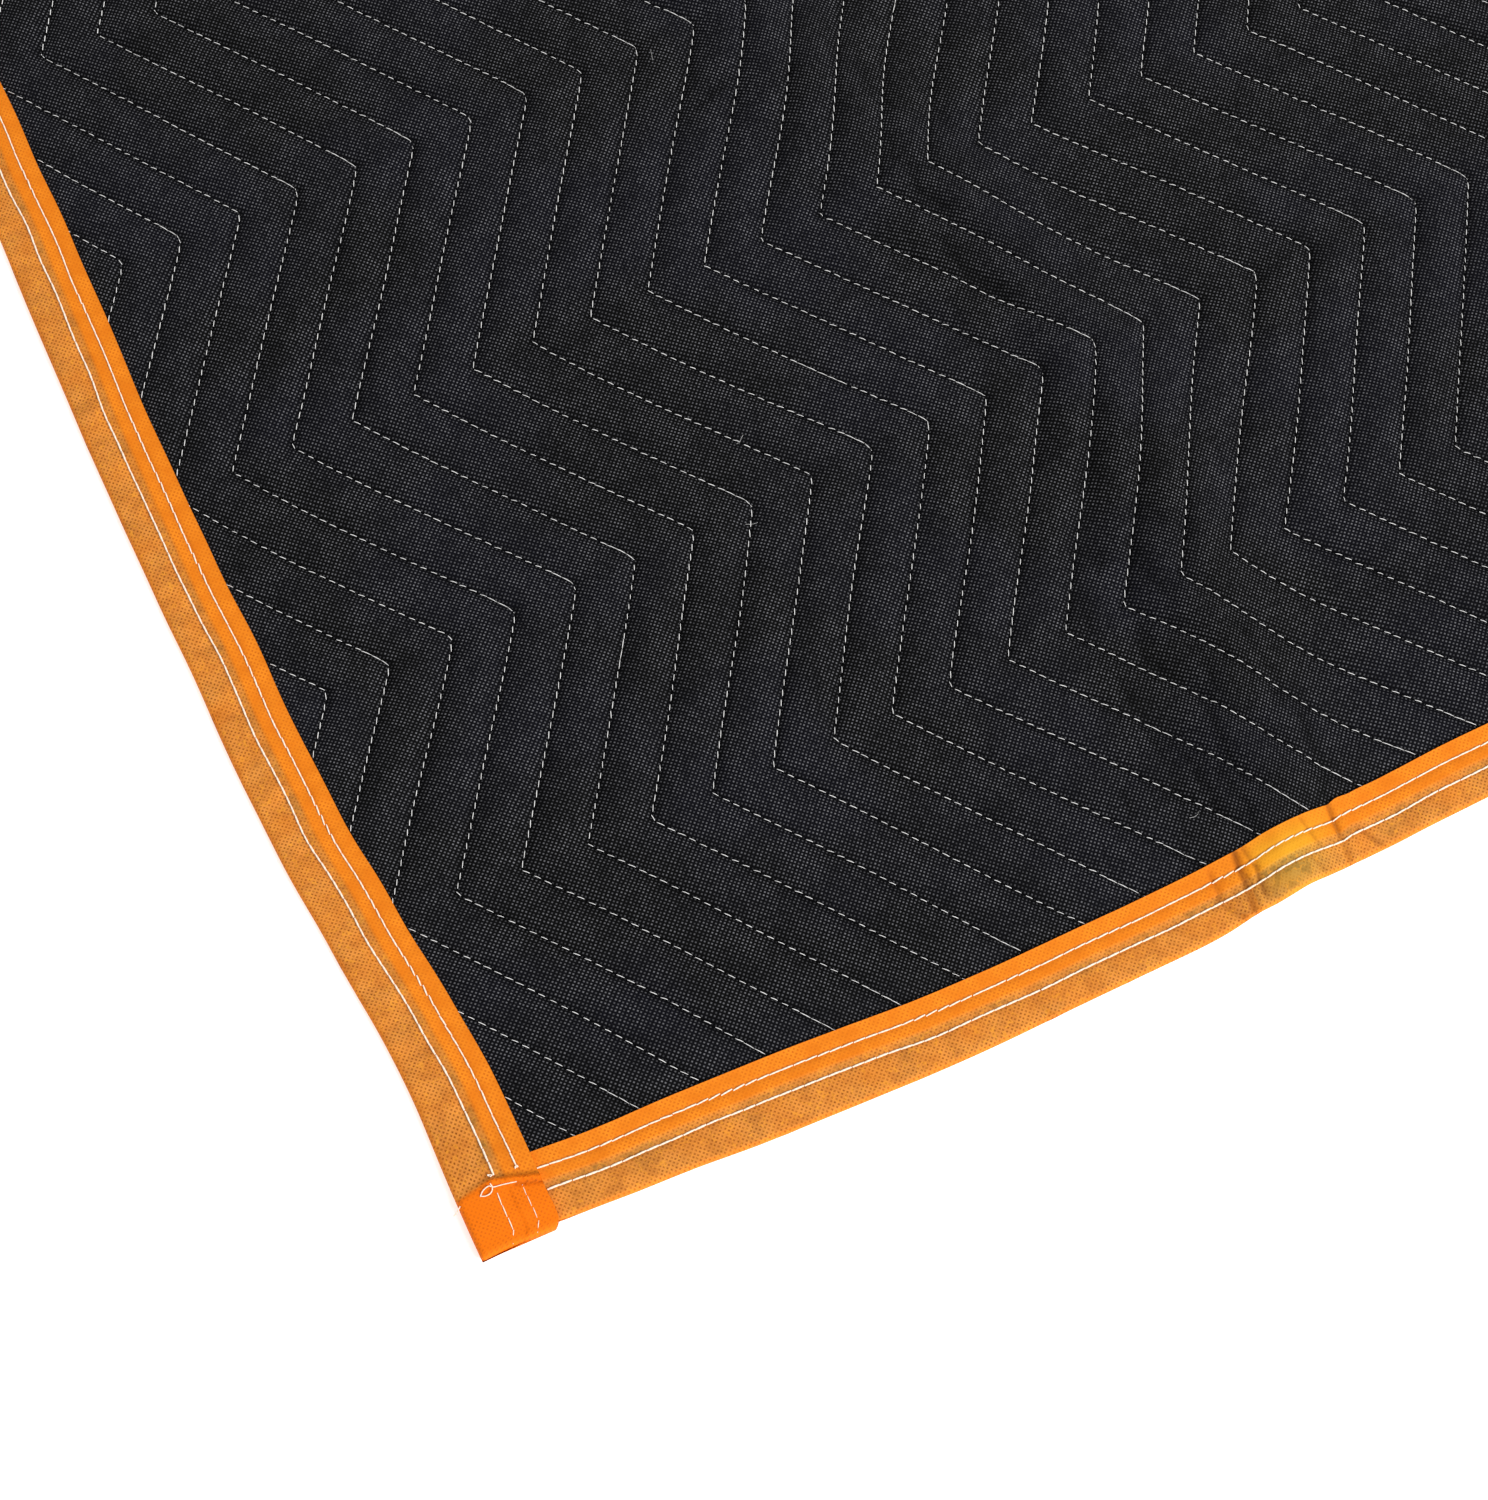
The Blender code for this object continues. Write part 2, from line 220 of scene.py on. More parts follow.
# %% Meshes and UV maps
def add_mesh(name, points, faces, flat, material, sharp_degrees=50):
    """One object from points and faces, with its flat places as the UV map and soft shading."""
    data = bpy.data.meshes.new(name)
    data.from_pydata(np.asarray(points).reshape(-1, 3).tolist(), [], faces)
    loop_points = np.zeros(len(data.loops), np.int32)
    data.loops.foreach_get("vertex_index", loop_points)
    layer = data.uv_layers.new(name="flat")
    layer.data.foreach_set("uv", np.asarray(flat, np.float32).reshape(-1, 2)[loop_points].ravel())
    data.materials.append(material)
    data.shade_smooth()
    data.set_sharp_from_angle(angle=math.radians(sharp_degrees))
    piece = bpy.data.objects.new(name, data)
    bpy.context.scene.collection.objects.link(piece)
    triangles = len(data.loops) - 2 * len(data.polygons)
    print(f"{name}: {triangles} triangles")
    return piece


def add_numbers(piece, name, values):
    """Stores one number for each point, which a material can read by its name."""
    layer = piece.data.attributes.new(name, "FLOAT", "POINT")
    layer.data.foreach_set("value", np.asarray(values, np.float32).ravel())


def grid_faces(rows, columns, wrap=False):
    """Quads between neighbouring points of a grid. wrap joins the last column to the first."""
    index = np.arange(rows * columns).reshape(rows, columns)
    if wrap:
        index = np.concatenate([index, index[:, :1]], axis=1)
    corners = (index[:-1, :-1], index[:-1, 1:], index[1:, 1:], index[1:, :-1])
    return np.stack(corners, axis=-1).reshape(-1, 4)


print("a grid of 3 by 3 points has", len(grid_faces(3, 3)), "faces")

# %% [markdown]
# Materials are node trees. A few helpers keep them readable: one turns the sRGB hex colours that the eye and
# every paint program use into the linear numbers that a shader needs, and one adds a node with its settings
# and links in a single line. Each material gets that one with its own tree already filled in.

# %% Colours and nodes
def linear(hex_colour):
    """Linear red, green, blue and alpha of an sRGB hex colour."""
    shares = [int(hex_colour[i : i + 2], 16) / 255 for i in (1, 3, 5)]
    return (*[s / 12.92 if s <= 0.04045 else ((s + 0.055) / 1.055) ** 2.4 for s in shares], 1)


def fill_sockets(node, inputs):
    """Gives a node's sockets, by name or number, a value or a link from another node's output."""
    for socket, value in inputs.items():
        if isinstance(value, bpy.types.NodeSocket):
            node.id_data.links.new(value, node.inputs[socket])
        else:
            node.inputs[socket].default_value = value


def add_node(tree, kind, inputs, output=0, **settings):
    """Adds a node with its settings and links, and returns the output that is asked for."""
    node = tree.nodes.new("ShaderNode" + kind)
    for name, value in settings.items():
        setattr(node, name, value)
    fill_sockets(node, inputs)
    return node.outputs[output]


def new_material(name):
    """A material, the function that adds nodes to it, and its Principled BSDF."""
    material = bpy.data.materials.new(name)
    material.use_nodes = True
    tree = material.node_tree
    return material, partial(add_node, tree), tree.nodes["Principled BSDF"]


print(f"middle grey, #808080, is {linear('#808080')[0]:.2f} in linear light")

# %% [markdown]
# The cover is spunbond polypropylene: fine plastic fibres laid at random and welded together by a hot roller
# with rows of tiny raised points. Each welded point is a smooth square that catches the light, and the rows
# stand at 45 degrees to the roll. That glint is painted into the colour as a light grey, and some points are
# painted brighter than others. A Voronoi texture with little randomness is a ready-made grid of such dots:
# its Chebychev distance makes them square, and its colour gives each dot a number of its own. In the valleys
# beside the thread, in the fine folds and a little on the flank of each puff that faces away from the light,
# painted shade hides the points and darkens the fibres, so the mesh says where those are.

# %% Black spunbond polypropylene
DOT_PITCH = 1.4 * MM
FIBRE = 0.5 * MM  # a real fibre is 0.02 mm; a clump of them is as fine as the picture shows
PATCH = 14 * MM
CLOUD = 80 * MM
WELD_DEPTH = 0.08 * MM
POLYPROPYLENE_IOR = 1.49


def welded_points(add, place, randomness, inner, outer):
    """1 on each welded point and 0 between them, and a random colour for each point."""
    turned = add("Mapping", {"Vector": place, "Rotation": (0, 0, math.radians(45))})
    inputs = {"Vector": turned, "Scale": 1 / DOT_PITCH, "Randomness": randomness}
    distance = add("TexVoronoi", inputs, voronoi_dimensions="2D", distance="CHEBYCHEV")
    inputs = {"Value": distance, "From Min": inner, "From Max": outer, "To Min": 1, "To Max": 0}
    return add("MapRange", inputs), distance.node.outputs["Color"]


def spunbond(add, shader, colour, dot, fibre, relief, roughness, gloss):
    """Gives the shader its colour, its relief of points and fibres, and its faint gloss."""
    height = add("Math", {0: dot, 1: fibre}, operation="ADD")
    bump = add("Bump", {"Height": height, "Strength": relief, "Distance": WELD_DEPTH})
    inputs = {"Base Color": colour, "Normal": bump, "Roughness": roughness}
    fill_sockets(shader, {**inputs, "IOR": POLYPROPYLENE_IOR, "Specular IOR Level": gloss})


def spunbond_black():
    material, add, shader = new_material("spunbond_polypropylene_black")
    place = add("UVMap", {}, uv_map="flat")
    dot, chance = welded_points(add, place, randomness=0.12, inner=0.1, outer=0.28)
    chance = add("MapRange", {"Value": chance, "From Min": 0.2, "From Max": 0.8, "To Min": 0.4})
    patch = add("TexNoise", {"Vector": place, "Scale": 1 / PATCH, "Detail": 1})
    patch = add("MapRange", {"Value": patch, "From Min": 0.38, "From Max": 0.64, "To Min": 0.66})
    cloud = add("TexNoise", {"Vector": place, "Scale": 1 / CLOUD, "Detail": 2})
    bluish = add("MapRange", {"Value": cloud, "From Min": 0.42, "From Max": 0.6})
    fibre = add("TexNoise", {"Vector": place, "Scale": 1 / FIBRE, "Detail": 2})
    fleck = add("MapRange", {"Value": fibre, "From Min": 0.36, "From Max": 0.64})
    shaded = add("Attribute", {}, "Fac", attribute_name="shade")
    lit = add("Math", {0: 1, 1: shaded}, operation="SUBTRACT")
    fleck = add("Math", {0: fleck, 1: lit}, operation="MULTIPLY")
    shown = dot
    for amount in (patch, chance, lit):
        shown = add("Math", {0: shown, 1: amount}, operation="MULTIPLY")
    colour = add("Mix", {0: bluish, 6: linear("#0e0e0f"), 7: linear("#13131b")}, 2, data_type="RGBA")
    colour = add("Mix", {0: fleck, 6: linear("#040404"), 7: colour}, 2, data_type="RGBA")
    # Painted highlight: each welded point's glint is mixed into the colour as a light grey.
    colour = add("Mix", {0: shown, 6: colour, 7: linear("#77777b")}, 2, data_type="RGBA")
    spunbond(add, shader, colour, dot, fibre, relief=0.5, roughness=0.72, gloss=0.04)
    return material


cover_material = spunbond_black()
print(f"{cover_material.name}: {len(cover_material.node_tree.nodes)} nodes")

# %% [markdown]
# The binding is the same kind of cloth in orange, but thinner. Where the maker turned its raw edge under,
# two layers make a strong flat orange. Further out a single layer lies over the black pad, which shows
# through as brown, most of all at the embossed points, where the fibres are melted clear. Thicker strands
# of fibre stay bright; the lines where a soft noise crosses its middle value curl just like them. The mesh
# carries how much black shows through at each point, less along the fold as a painted highlight; how olive
# it looks where the cloth is stretched thinnest, and partly as painted shade beside the hem's step and all
# along the front strip; the painted highlight on the bulges of the gather; and the painted shade in creases,
# beside the rows and round the tabs' roll. Both cloths are painted the same way, with one coat of colour
# after another over a cloudy ground.

# %% Orange spunbond polypropylene
ORANGE_CLOUD = 7 * MM
STRAND = 3.5 * MM
LAYER_NAMES = ("see_through", "olive", "gather_highlight", "crease_shade", "tab")


def spunbond_orange():
    material, add, shader = new_material("spunbond_polypropylene_orange")
    place = add("UVMap", {}, uv_map="flat")
    layers = [add("Attribute", {}, "Fac", attribute_name=name) for name in LAYER_NAMES]
    see_through, olive, gather_highlight, crease_shade, tab = layers
    dot, _ = welded_points(add, place, randomness=0.15, inner=0.14, outer=0.36)
    fibre = add("TexNoise", {"Vector": place, "Scale": 1 / FIBRE, "Detail": 2})
    cloud = add("TexNoise", {"Vector": place, "Scale": 1 / ORANGE_CLOUD, "Detail": 4})
    cloud = add("MapRange", {"Value": cloud, "From Min": 0.35, "From Max": 0.65})
    patchy = add("MapRange", {"Value": fibre, "From Min": 0.3, "From Max": 0.6, "To Min": 0.35})
    specks = add("Math", {0: dot, 1: patchy}, operation="MULTIPLY")
    faint = add("MapRange", {"Value": cloud, "To Min": 0.3, "To Max": 0.85})
    faint = add("Math", {0: specks, 1: faint}, operation="MULTIPLY")
    firm = add("MapRange", {"Value": olive, "From Max": 0.8, "To Min": 1, "To Max": 0.3})
    clear = add("Math", {0: specks, 1: firm}, operation="MULTIPLY")
    lay = add("TexNoise", {"Vector": place, "Scale": 1 / STRAND, "Detail": 1})
    inputs = {"Value": lay, "From Min": 0.35, "From Max": 0.6, "To Min": 1.15, "To Max": 0.5}
    mottled_olive = add("Math", {0: olive, 1: add("MapRange", inputs)}, operation="MULTIPLY")
    curl = add("Math", {0: lay, 1: 0.5}, operation="SUBTRACT")
    curl = add("Math", {0: curl}, operation="ABSOLUTE")
    inputs = {"Value": curl, "From Min": 0.006, "From Max": 0.022, "To Min": 0.5, "To Max": 0}
    strand = add("MapRange", inputs)

    # Among the coats, the gather's yellowish coat is a painted highlight, and the olive one carries painted
    # shade as well as the black showing through.
    doubled = ((tab, "#f07406"), (faint, "#b8540a"), (gather_highlight, "#e6a824"))
    alone = ((gather_highlight, "#c8a04a"), (mottled_olive, "#86662c"), (clear, "#743c06"), (strand, "#f0a030"))
    cloths = []
    for dull, bright, coats in (("#e07812", "#ee881c", doubled), ("#cc7d33", "#e08f3e", alone)):
        colour = add("Mix", {0: cloud, 6: linear(dull), 7: linear(bright)}, 2, data_type="RGBA")
        for amount, coat in coats:
            colour = add("Mix", {0: amount, 6: colour, 7: linear(coat)}, 2, data_type="RGBA")
        cloths.append(colour)
    single = add("Math", {0: see_through, 1: tab}, operation="SUBTRACT", use_clamp=True)
    colour = add("Mix", {0: single, 6: cloths[0], 7: cloths[1]}, 2, data_type="RGBA")
    # Painted shade in creases, in the grooves beside the rows and round each tab's roll.
    colour = add("Mix", {0: crease_shade, 6: colour, 7: linear("#6a300c")}, 2, data_type="RGBA")
    spunbond(add, shader, colour, dot, fibre, relief=0.4, roughness=0.7, gloss=0.12)
    return material


binding_material = spunbond_orange()
print(f"{binding_material.name}: {len(binding_material.node_tree.nodes)} nodes")

# %% [markdown]
# Quilting thread is spun polyester: short fibres twisted into plies, matt and slightly hairy, off-white. The
# twist shows as fine slanting bands, which a wave texture draws across each stitch. The bindings' thread has
# taken a little of the orange around it.

# %% White spun polyester
PLY_TWIST = 0.8 * MM
POLYESTER_IOR = 1.57


def spun_polyester(name, dark_hex, light_hex):
    material, add, shader = new_material(name)
    place = add("UVMap", {}, uv_map="flat")
    inputs = {"Vector": place, "Scale": 1 / PLY_TWIST / math.pi, "Distortion": 1.5}
    twist = add("TexWave", inputs, "Fac", bands_direction="DIAGONAL")
    colour = add("Mix", {0: twist, 6: linear(dark_hex), 7: linear(light_hex)}, 2, data_type="RGBA")
    bump = add("Bump", {"Height": twist, "Strength": 0.2, "Distance": 0.05 * MM})
    inputs = {"Base Color": colour, "Normal": bump, "Roughness": 0.8}
    fill_sockets(shader, {**inputs, "IOR": POLYESTER_IOR, "Sheen Weight": 0.2})
    return material


quilting_material = spun_polyester("spun_polyester_quilting", "#e8e6e2", "#ffffff")
binding_thread_material = spun_polyester("spun_polyester_binding", "#f4ddc2", "#fff2e2")
print("materials:", ", ".join(m.name for m in bpy.data.materials))

# %% [markdown]
# The quilting lines run from front to back in zigzags, an inch apart. The needle pulls the cover down into a
# sharp valley along each line, and the filling swells softly between. A mesh whose columns follow the sewn
# lines gets a crisp valley from few faces, which a square grid could not. The near corner, where the camera
# stands, has the finest mesh. The lines' first corners hide under the front binding, so they run straight
# on.

# %% Quilting
LINE_PITCH = 1 * INCH
HALF_ZIGZAG = 4 * LINE_PITCH
ZIGZAG_REACH = 2.8 * LINE_PITCH
FIRST_CORNER_FROM_FRONT = 1.17 * LINE_PITCH
FIRST_LINE_FROM_LEFT = 0.87 * LINE_PITCH
SEWN_HEIGHT = 2.8 * MM
PUFF_HEIGHT = 5.3 * MM
VALLEY_WIDTH = 2 * MM
CORNER_ROUND = 1.5 * MM


def zigzag(from_front, rounded=0.0):
    """How far right of its left corners a sewn line runs. Thread takes its right corners rounded."""
    turn = (from_front - FIRST_CORNER_FROM_FRONT) / HALF_ZIGZAG
    from_corner = abs((turn + 1) % 2 - 1) * HALF_ZIGZAG
    hidden = from_front < FIRST_CORNER_FROM_FRONT + HALF_ZIGZAG / 2
    from_corner = np.where(hidden, turn * HALF_ZIGZAG, np.sqrt(from_corner**2 + rounded**2))
    return ZIGZAG_REACH - ZIGZAG_REACH / HALF_ZIGZAG * from_corner


def line_number(from_left, from_front):
    """Number of the sewn line at a place, with the share of the way to the next line."""
    return (from_left - FIRST_LINE_FROM_LEFT - zigzag(from_front)) / LINE_PITCH


print(f"a zigzag is {2 * HALF_ZIGZAG / MM:.0f} mm long and {ZIGZAG_REACH / MM:.0f} mm wide")

# %% [markdown]
# Soft quilting also has creases from folding and handling. Each is listed as a soft trough or ridge,
# with its height and width in millimetres, and its path in millimetres from the left and the front edge.
# Most of the fine folds fan out from the gather in the front binding.

# %% Creases of the pad
CREASES = [  # name, height, width, path
    ("far flank of the ripple", -1.3, 7, [(356, 400), (343, 353), (345, 327), (348, 294), (345, 248)]),
    ("near flank of the ripple", -1.5, 7, [(332, 212), (327, 181), (323, 150), (322, 117), (334, 88)]),
    ("far crest of the ripple", 0.9, 10, [(411, 218), (384, 177), (356, 138)]),
    ("fold in the crest", -1.2, 6, [(353, 165), (351, 140), (356, 129)]),
    ("fold beside the crest", -1.2, 6, [(355, 206), (340, 184), (331, 160)]),
    ("fold to the binding", -1.1, 6, [(314, 103), (318, 85), (326, 67)]),
    ("second fold to the binding", -1.1, 6, [(313, 82), (319, 60), (325, 41)]),
    ("near crest of the ripple", 1.1, 8, [(351, 121), (359, 90), (364, 60), (357, 34)]),
    ("lump of filling", 0.9, 13, [(152, 281), (174, 256), (191, 231)]),
    ("small lump", 0.8, 8, [(183, 141), (198, 145)]),
    ("dent at a corner", -0.9, 5, [(231, 138), (237, 134)]),
    ("dent at the next corner", -0.9, 5, [(257, 141), (263, 136)]),
    ("ripple across the first lines", -0.7, 5, [(40, 300), (56, 287)]),
    ("second ripple across", -0.7, 5, [(34, 262), (52, 250)]),
    ("third ripple across", -0.7, 5, [(32, 232), (50, 216)]),
]
FINE_FOLDS = [  # depth, width, path
    (0.8, 2.6, [(364, 106), (366, 92), (368, 79), (362, 70)]),
    (0.7, 2.4, [(370, 64), (367, 48), (360, 30)]),
    (0.9, 3.6, [(329, 121), (324, 110), (326, 100), (330, 94)]),
    (0.8, 3.2, [(341, 152), (341, 140), (343, 129)]),
    (0.9, 3.2, [(310, 104), (309, 92), (311, 84), (317, 74)]),
    (0.7, 2.6, [(308, 79), (308, 66), (305, 51)]),
    (0.7, 2.4, [(333, 79), (330, 62), (331, 49)]),
    (0.5, 2.4, [(342, 103), (342, 91), (343, 82)]),
    (0.7, 3.0, [(323, 161), (327, 150)]),
    (0.7, 3.0, [(314, 141), (311, 127)]),
    (0.5, 2.2, [(314, 73), (316, 62), (313, 53)]),
    (0.5, 2.2, [(287, 64), (285, 54)]),
    (0.6, 2.4, [(324, 55), (326, 42), (326, 30)]),
    (0.6, 2.4, [(320, 65), (315, 52), (315, 40)]),
    (0.9, 3.2, [(339, 348), (345, 337), (341, 325), (348, 313)]),
    (0.6, 2.2, [(280, 399), (296, 406)]),
    (0.5, 2.2, [(299, 358), (296, 353)]),
    (0.9, 3.2, [(340, 301), (341, 286), (350, 272)]),
    (0.7, 2.6, [(371, 354), (371, 345), (375, 343)]),
    (0.6, 2.2, [(351, 384), (349, 375)]),
]
FOLD_DEPTH = 1.15  # how deep a fine fold is, as a share of its listed depth
FOLD_SHADE = 0.6
FOLD_SHADE_WIDTH = 0.8
VALLEY_SHADE = 0.75
VALLEY_SHADE_WIDTH = 1.5 * MM
# Painted shade on the flank of each puff that faces away from the light, uneven over the pad.
DIM_FLANK_SHADE = 0.15
DIM_FLANK_ACROSS = (0.1, 0.75)
DIM_FLANK_UNEVEN = 0.35
DIM_FLANK_SIZE = 60 * MM
STEEP_SHARE = 0.4  # share of a puff's height that it gains right beside the seam
LUMPS = 0.18 * MM
LUMP_SIZE = 16 * MM
WAVES = 0.25 * MM
WAVE_SIZE = 90 * MM
PUCKERS = 0.22 * MM
PUCKER_SIZE = 4.5 * MM
PUCKER_REACH = 1.5 * VALLEY_WIDTH
THINNEST = 1.6 * MM


def pad_height(from_left, from_front):
    """Height of the pad's upper face above the floor, before it is laid down."""
    share = line_number(from_left, from_front) % 1
    from_seam = np.minimum(share, 1 - share) * LINE_PITCH
    puff = STEEP_SHARE * (1 - np.exp(-from_seam / VALLEY_WIDTH))
    puff = puff + (1 - STEEP_SHARE) * np.sin(math.pi * share)
    height = SEWN_HEIGHT + (PUFF_HEIGHT - SEWN_HEIGHT) * puff
    height = height + LUMPS * puff * uneven(from_left, 0.5 * from_front, LUMP_SIZE, 11)
    height = height + WAVES * uneven(from_left, from_front, WAVE_SIZE, 12)
    near_seam = np.exp(-from_seam / PUCKER_REACH)
    height = height + PUCKERS * near_seam * uneven(from_left, from_front, PUCKER_SIZE, 13)
    for _, rise, width, path in CREASES:
        height = height + rise * MM * near_path(from_left, from_front, path, width)
    for depth, width, path in FINE_FOLDS:
        height = height - FOLD_DEPTH * depth * MM * near_path(from_left, from_front, path, width)
    return np.maximum(height, THINNEST)


heights = pad_height(*np.meshgrid(np.linspace(0.1, 0.5, 300), np.linspace(0.1, 0.5, 300)))
print(f"the quilting is {heights.min() / MM:.1f} to {heights.max() / MM:.1f} mm high")

# %% [markdown]
# The orange strips were fed by hand, so they wander: each has its own outer and inner edge, read off the
# picture every few centimetres and joined by a smooth curve. The cover needs these edges too, because the
# quilting is pressed flat under a strip and swells again right beside it. The near tab hangs out a little
# past the front.

# %% Edges of the strips
CLOTH = 1.0 * MM
GAP = 0.3 * MM
LAYER = CLOTH + GAP
BINDING_WIDTH = 28 * MM
HANG = 4.3 * MM
HANG_SKEW = 0.03
HANG_START = 60 * MM
HANG_END = 10 * MM
EDGE_WOBBLE = 0.25 * MM
EDGE_WOBBLE_SIZE = 25 * MM
SIDES = ("left", "right")
STRIP_EDGES = {  # place along the strip, and its outer and inner edge, in from the pad's even edge, in mm
    "left": [
        (0, -1.5, 26.4), (2.5, -1.4, 28.7), (6, -1.3, 29.4), (12, -1.1, 29.5), (24, -0.6, 30.1),
        (60, 1.5, 31.0), (84, 1.3, 29.7), (108, 0.1, 28.3), (132, -1.0, 26.6), (156, -2.4, 25.2),
        (180, -3.0, 24.1), (210, -3.5, 23.4), (252, -2.5, 24.1), (300, -1.9, 24.2), (348, -1.3, 24.8),
        (384, -0.6, 25.7), (420, -0.3, 26.6), (460, 0.2, 26.9), (600, 0, 28), (700, 0, 28), (800, 0, 28),
        (2032, 0, 28),
    ],
    "front": [
        (32, -2.5, 24.2), (44, -2.1, 24.2), (56, -1.8, 24.7), (80, -1.1, 26.1), (104, -1.3, 27.0),
        (128, -1.2, 27.2), (152, -1.4, 26.5), (176, -1.8, 25.4), (200, -2.0, 24.7), (224, -1.9, 24.1),
        (260, -2.1, 23.7), (296, -1.9, 23.7), (308, -0.7, 23.9), (317, -0.8, 24.1), (323, -0.5, 24.6),
        (332, 0.1, 24.8), (344, -0.1, 24.7), (349, -0.1, 24.5), (353, 0, 24.2), (356, 0, 24.1),
        (360, 0, 24.9), (366, 0, 24.6), (370, 0, 24.8), (376, 0, 24.7), (381, 0.1, 24.7), (404, 0, 24.9),
        (500, 0, 26), (620, 0, 28), (720, 0, 28), (820, 0, 28), (1829, 0, 28),
    ],
}
EVEN_EDGES = [(0, 0, 28), (1000, 0, 28), (2032, 0, 28)]


def strip_edges(side, along):
    """Where a strip's outer and inner edges run, in from the pad's even edge."""
    places, *edges = zip(*STRIP_EDGES.get(side, EVEN_EDGES))
    wobble = EDGE_WOBBLE * uneven(along, 0.0, EDGE_WOBBLE_SIZE, 21 + len(side))
    outer, inner = [through(along / MM, places, edge) * MM for edge in edges]
    return outer + 0.5 * wobble, inner + wobble


def from_strips(from_left, from_front):
    """How far inside the nearest strip's inner edge a place on the pad lies."""
    left = from_left - strip_edges("left", from_front)[1]
    right = WIDTH - from_left - strip_edges("right", from_front)[1]
    front = from_front - LAYER - strip_edges("front", from_left)[1]
    back = LENGTH - from_front - LAYER - strip_edges("back", from_left)[1]
    return np.minimum(np.minimum(left, right), np.minimum(front, back))


widths = [float(np.diff(strip_edges("left", at * MM))[0]) / MM for at in (50, 200, 400)]
print("the left strip is", ", ".join(f"{width:.0f}" for width in widths), "mm wide on its way")

# %% [markdown]
# The cover is one closed sheet. Its upper grid follows the sewn lines from front to back. Where a line would
# leave the pad, its points are stopped at the edge, and points that then fall together are merged. The
# underside lies on the floor, where nobody sees it, so it takes only every few rows and columns of the same
# grid. Its faces at the rim have many corners, so that both sides meet without a gap.

# %% Grid of the cover
EDGE_TOP = 3.8 * MM
RIM = 1 * MM
RIM_BLEND = 10 * MM
RISE_END = 40 * MM
NEAR_LINES = 21
NEAR_SHARES = [0, 0.05, 0.14, 0.26, 0.38, 0.5, 0.62, 0.74, 0.86, 0.95]
FAR_SHARES = [0, 0.24, 0.76]
NEAR_DEPTH = 500 * MM
NEAR_ROWS = 28  # rows in half a zigzag
FAR_ROWS = 5
UNDER_ROWS = 5  # the underside keeps every fifth row
UNDER_COLUMNS = 8

first_line = -4
last_line = math.ceil(WIDTH / LINE_PITCH)
columns = [line + share for line in range(first_line, NEAR_LINES) for share in NEAR_SHARES]
columns += [line + share for line in range(NEAR_LINES, last_line) for share in FAR_SHARES] + [last_line]
pad_front = 2 * LAYER
pad_back = LENGTH - 2 * LAYER
near_half = math.ceil((NEAR_DEPTH - FIRST_CORNER_FROM_FRONT) / HALF_ZIGZAG)
near_end = FIRST_CORNER_FROM_FRONT + near_half * HALF_ZIGZAG
near_step = HALF_ZIGZAG / NEAR_ROWS
far_step = HALF_ZIGZAG / FAR_ROWS
front_rows = np.arange(FIRST_CORNER_FROM_FRONT, pad_front + near_step / 2, -near_step)[::-1]
near_rows = np.arange(1, near_half * NEAR_ROWS + 1) * near_step + FIRST_CORNER_FROM_FRONT
far_rows = np.arange(near_end + far_step, pad_back - far_step / 4, far_step)
rows = np.concatenate([[pad_front], front_rows, near_rows, far_rows, [pad_back]])
print(f"{len(columns)} columns and {len(rows)} rows")


# %% Build the cover
def corner_rise(from_edge):
    """How much higher a layer lies where it passes over another binding's lower layer."""
    return LAYER * np.clip((RISE_END - from_edge) / (RISE_END - BINDING_WIDTH - GAP), 0, 1)


def every(count, step):
    """Numbers of the rows or columns that the underside keeps."""
    return sorted({count - 1, *range(0, count, step)})


def cover_top(from_left, from_front):
    """Height of the finished cover, pressed flat towards the strips."""
    quilt = pad_height(from_left, from_front)
    free = from_strips(*slipped(from_left, from_front))
    return EDGE_TOP + (quilt - EDGE_TOP) * smooth_step(free, RIM, RIM_BLEND)


def cover_piece():
    line, from_front = np.meshgrid(columns, rows)
    edge = LAYER + np.maximum(strip_edges("left", from_front)[0], 0)
    from_left = np.clip(FIRST_LINE_FROM_LEFT + line * LINE_PITCH + zigzag(from_front), edge, WIDTH - LAYER)
    from_side = np.minimum(from_left, WIDTH - from_left)
    from_end = np.minimum(from_front, LENGTH - from_front)
    under = corner_rise(from_side) + corner_rise(from_end - LAYER)
    top = cover_top(from_left, from_front)
    lies = slipped(from_left, from_front)
    upper = settle(*lies, top).reshape(-1, 3)
    lower = settle(*lies, np.minimum(under, top - MM)).reshape(-1, 3)
    flat = np.stack([from_left, from_front], axis=-1).reshape(-1, 2)

    count_rows, count_columns = line.shape
    index = np.arange(line.size).reshape(line.shape)
    faces = grid_faces(count_rows, count_columns).tolist()
    kept_rows = every(count_rows, UNDER_ROWS)
    kept_columns = every(count_columns, UNDER_COLUMNS)
    for r0, r1 in zip(kept_rows, kept_rows[1:]):
        for c0, c1 in zip(kept_columns, kept_columns[1:]):
            front = index[r0, c0 : c1 + 1] if r0 == 0 else index[r0, [c0, c1]]
            back = index[r1, c0 : c1 + 1] if r1 == count_rows - 1 else index[r1, [c0, c1]]
            left = index[r0 + 1 : r1, c0] if c0 == 0 else []
            right = index[r0 + 1 : r1, c1] if c1 == count_columns - 1 else []
            faces.append([int(i) + line.size for i in [*left, *back, *right[::-1], *front[::-1]]])
    rim = [*index[0, :], *index[1:, -1], *index[-1, -2::-1], *index[-2:0:-1, 0]]
    for a, b in zip(rim, rim[1:] + rim[:1]):
        faces.append([int(b), int(a), int(a) + line.size, int(b) + line.size])
    return merged(np.concatenate([upper, lower]), faces, np.concatenate([flat, flat]))


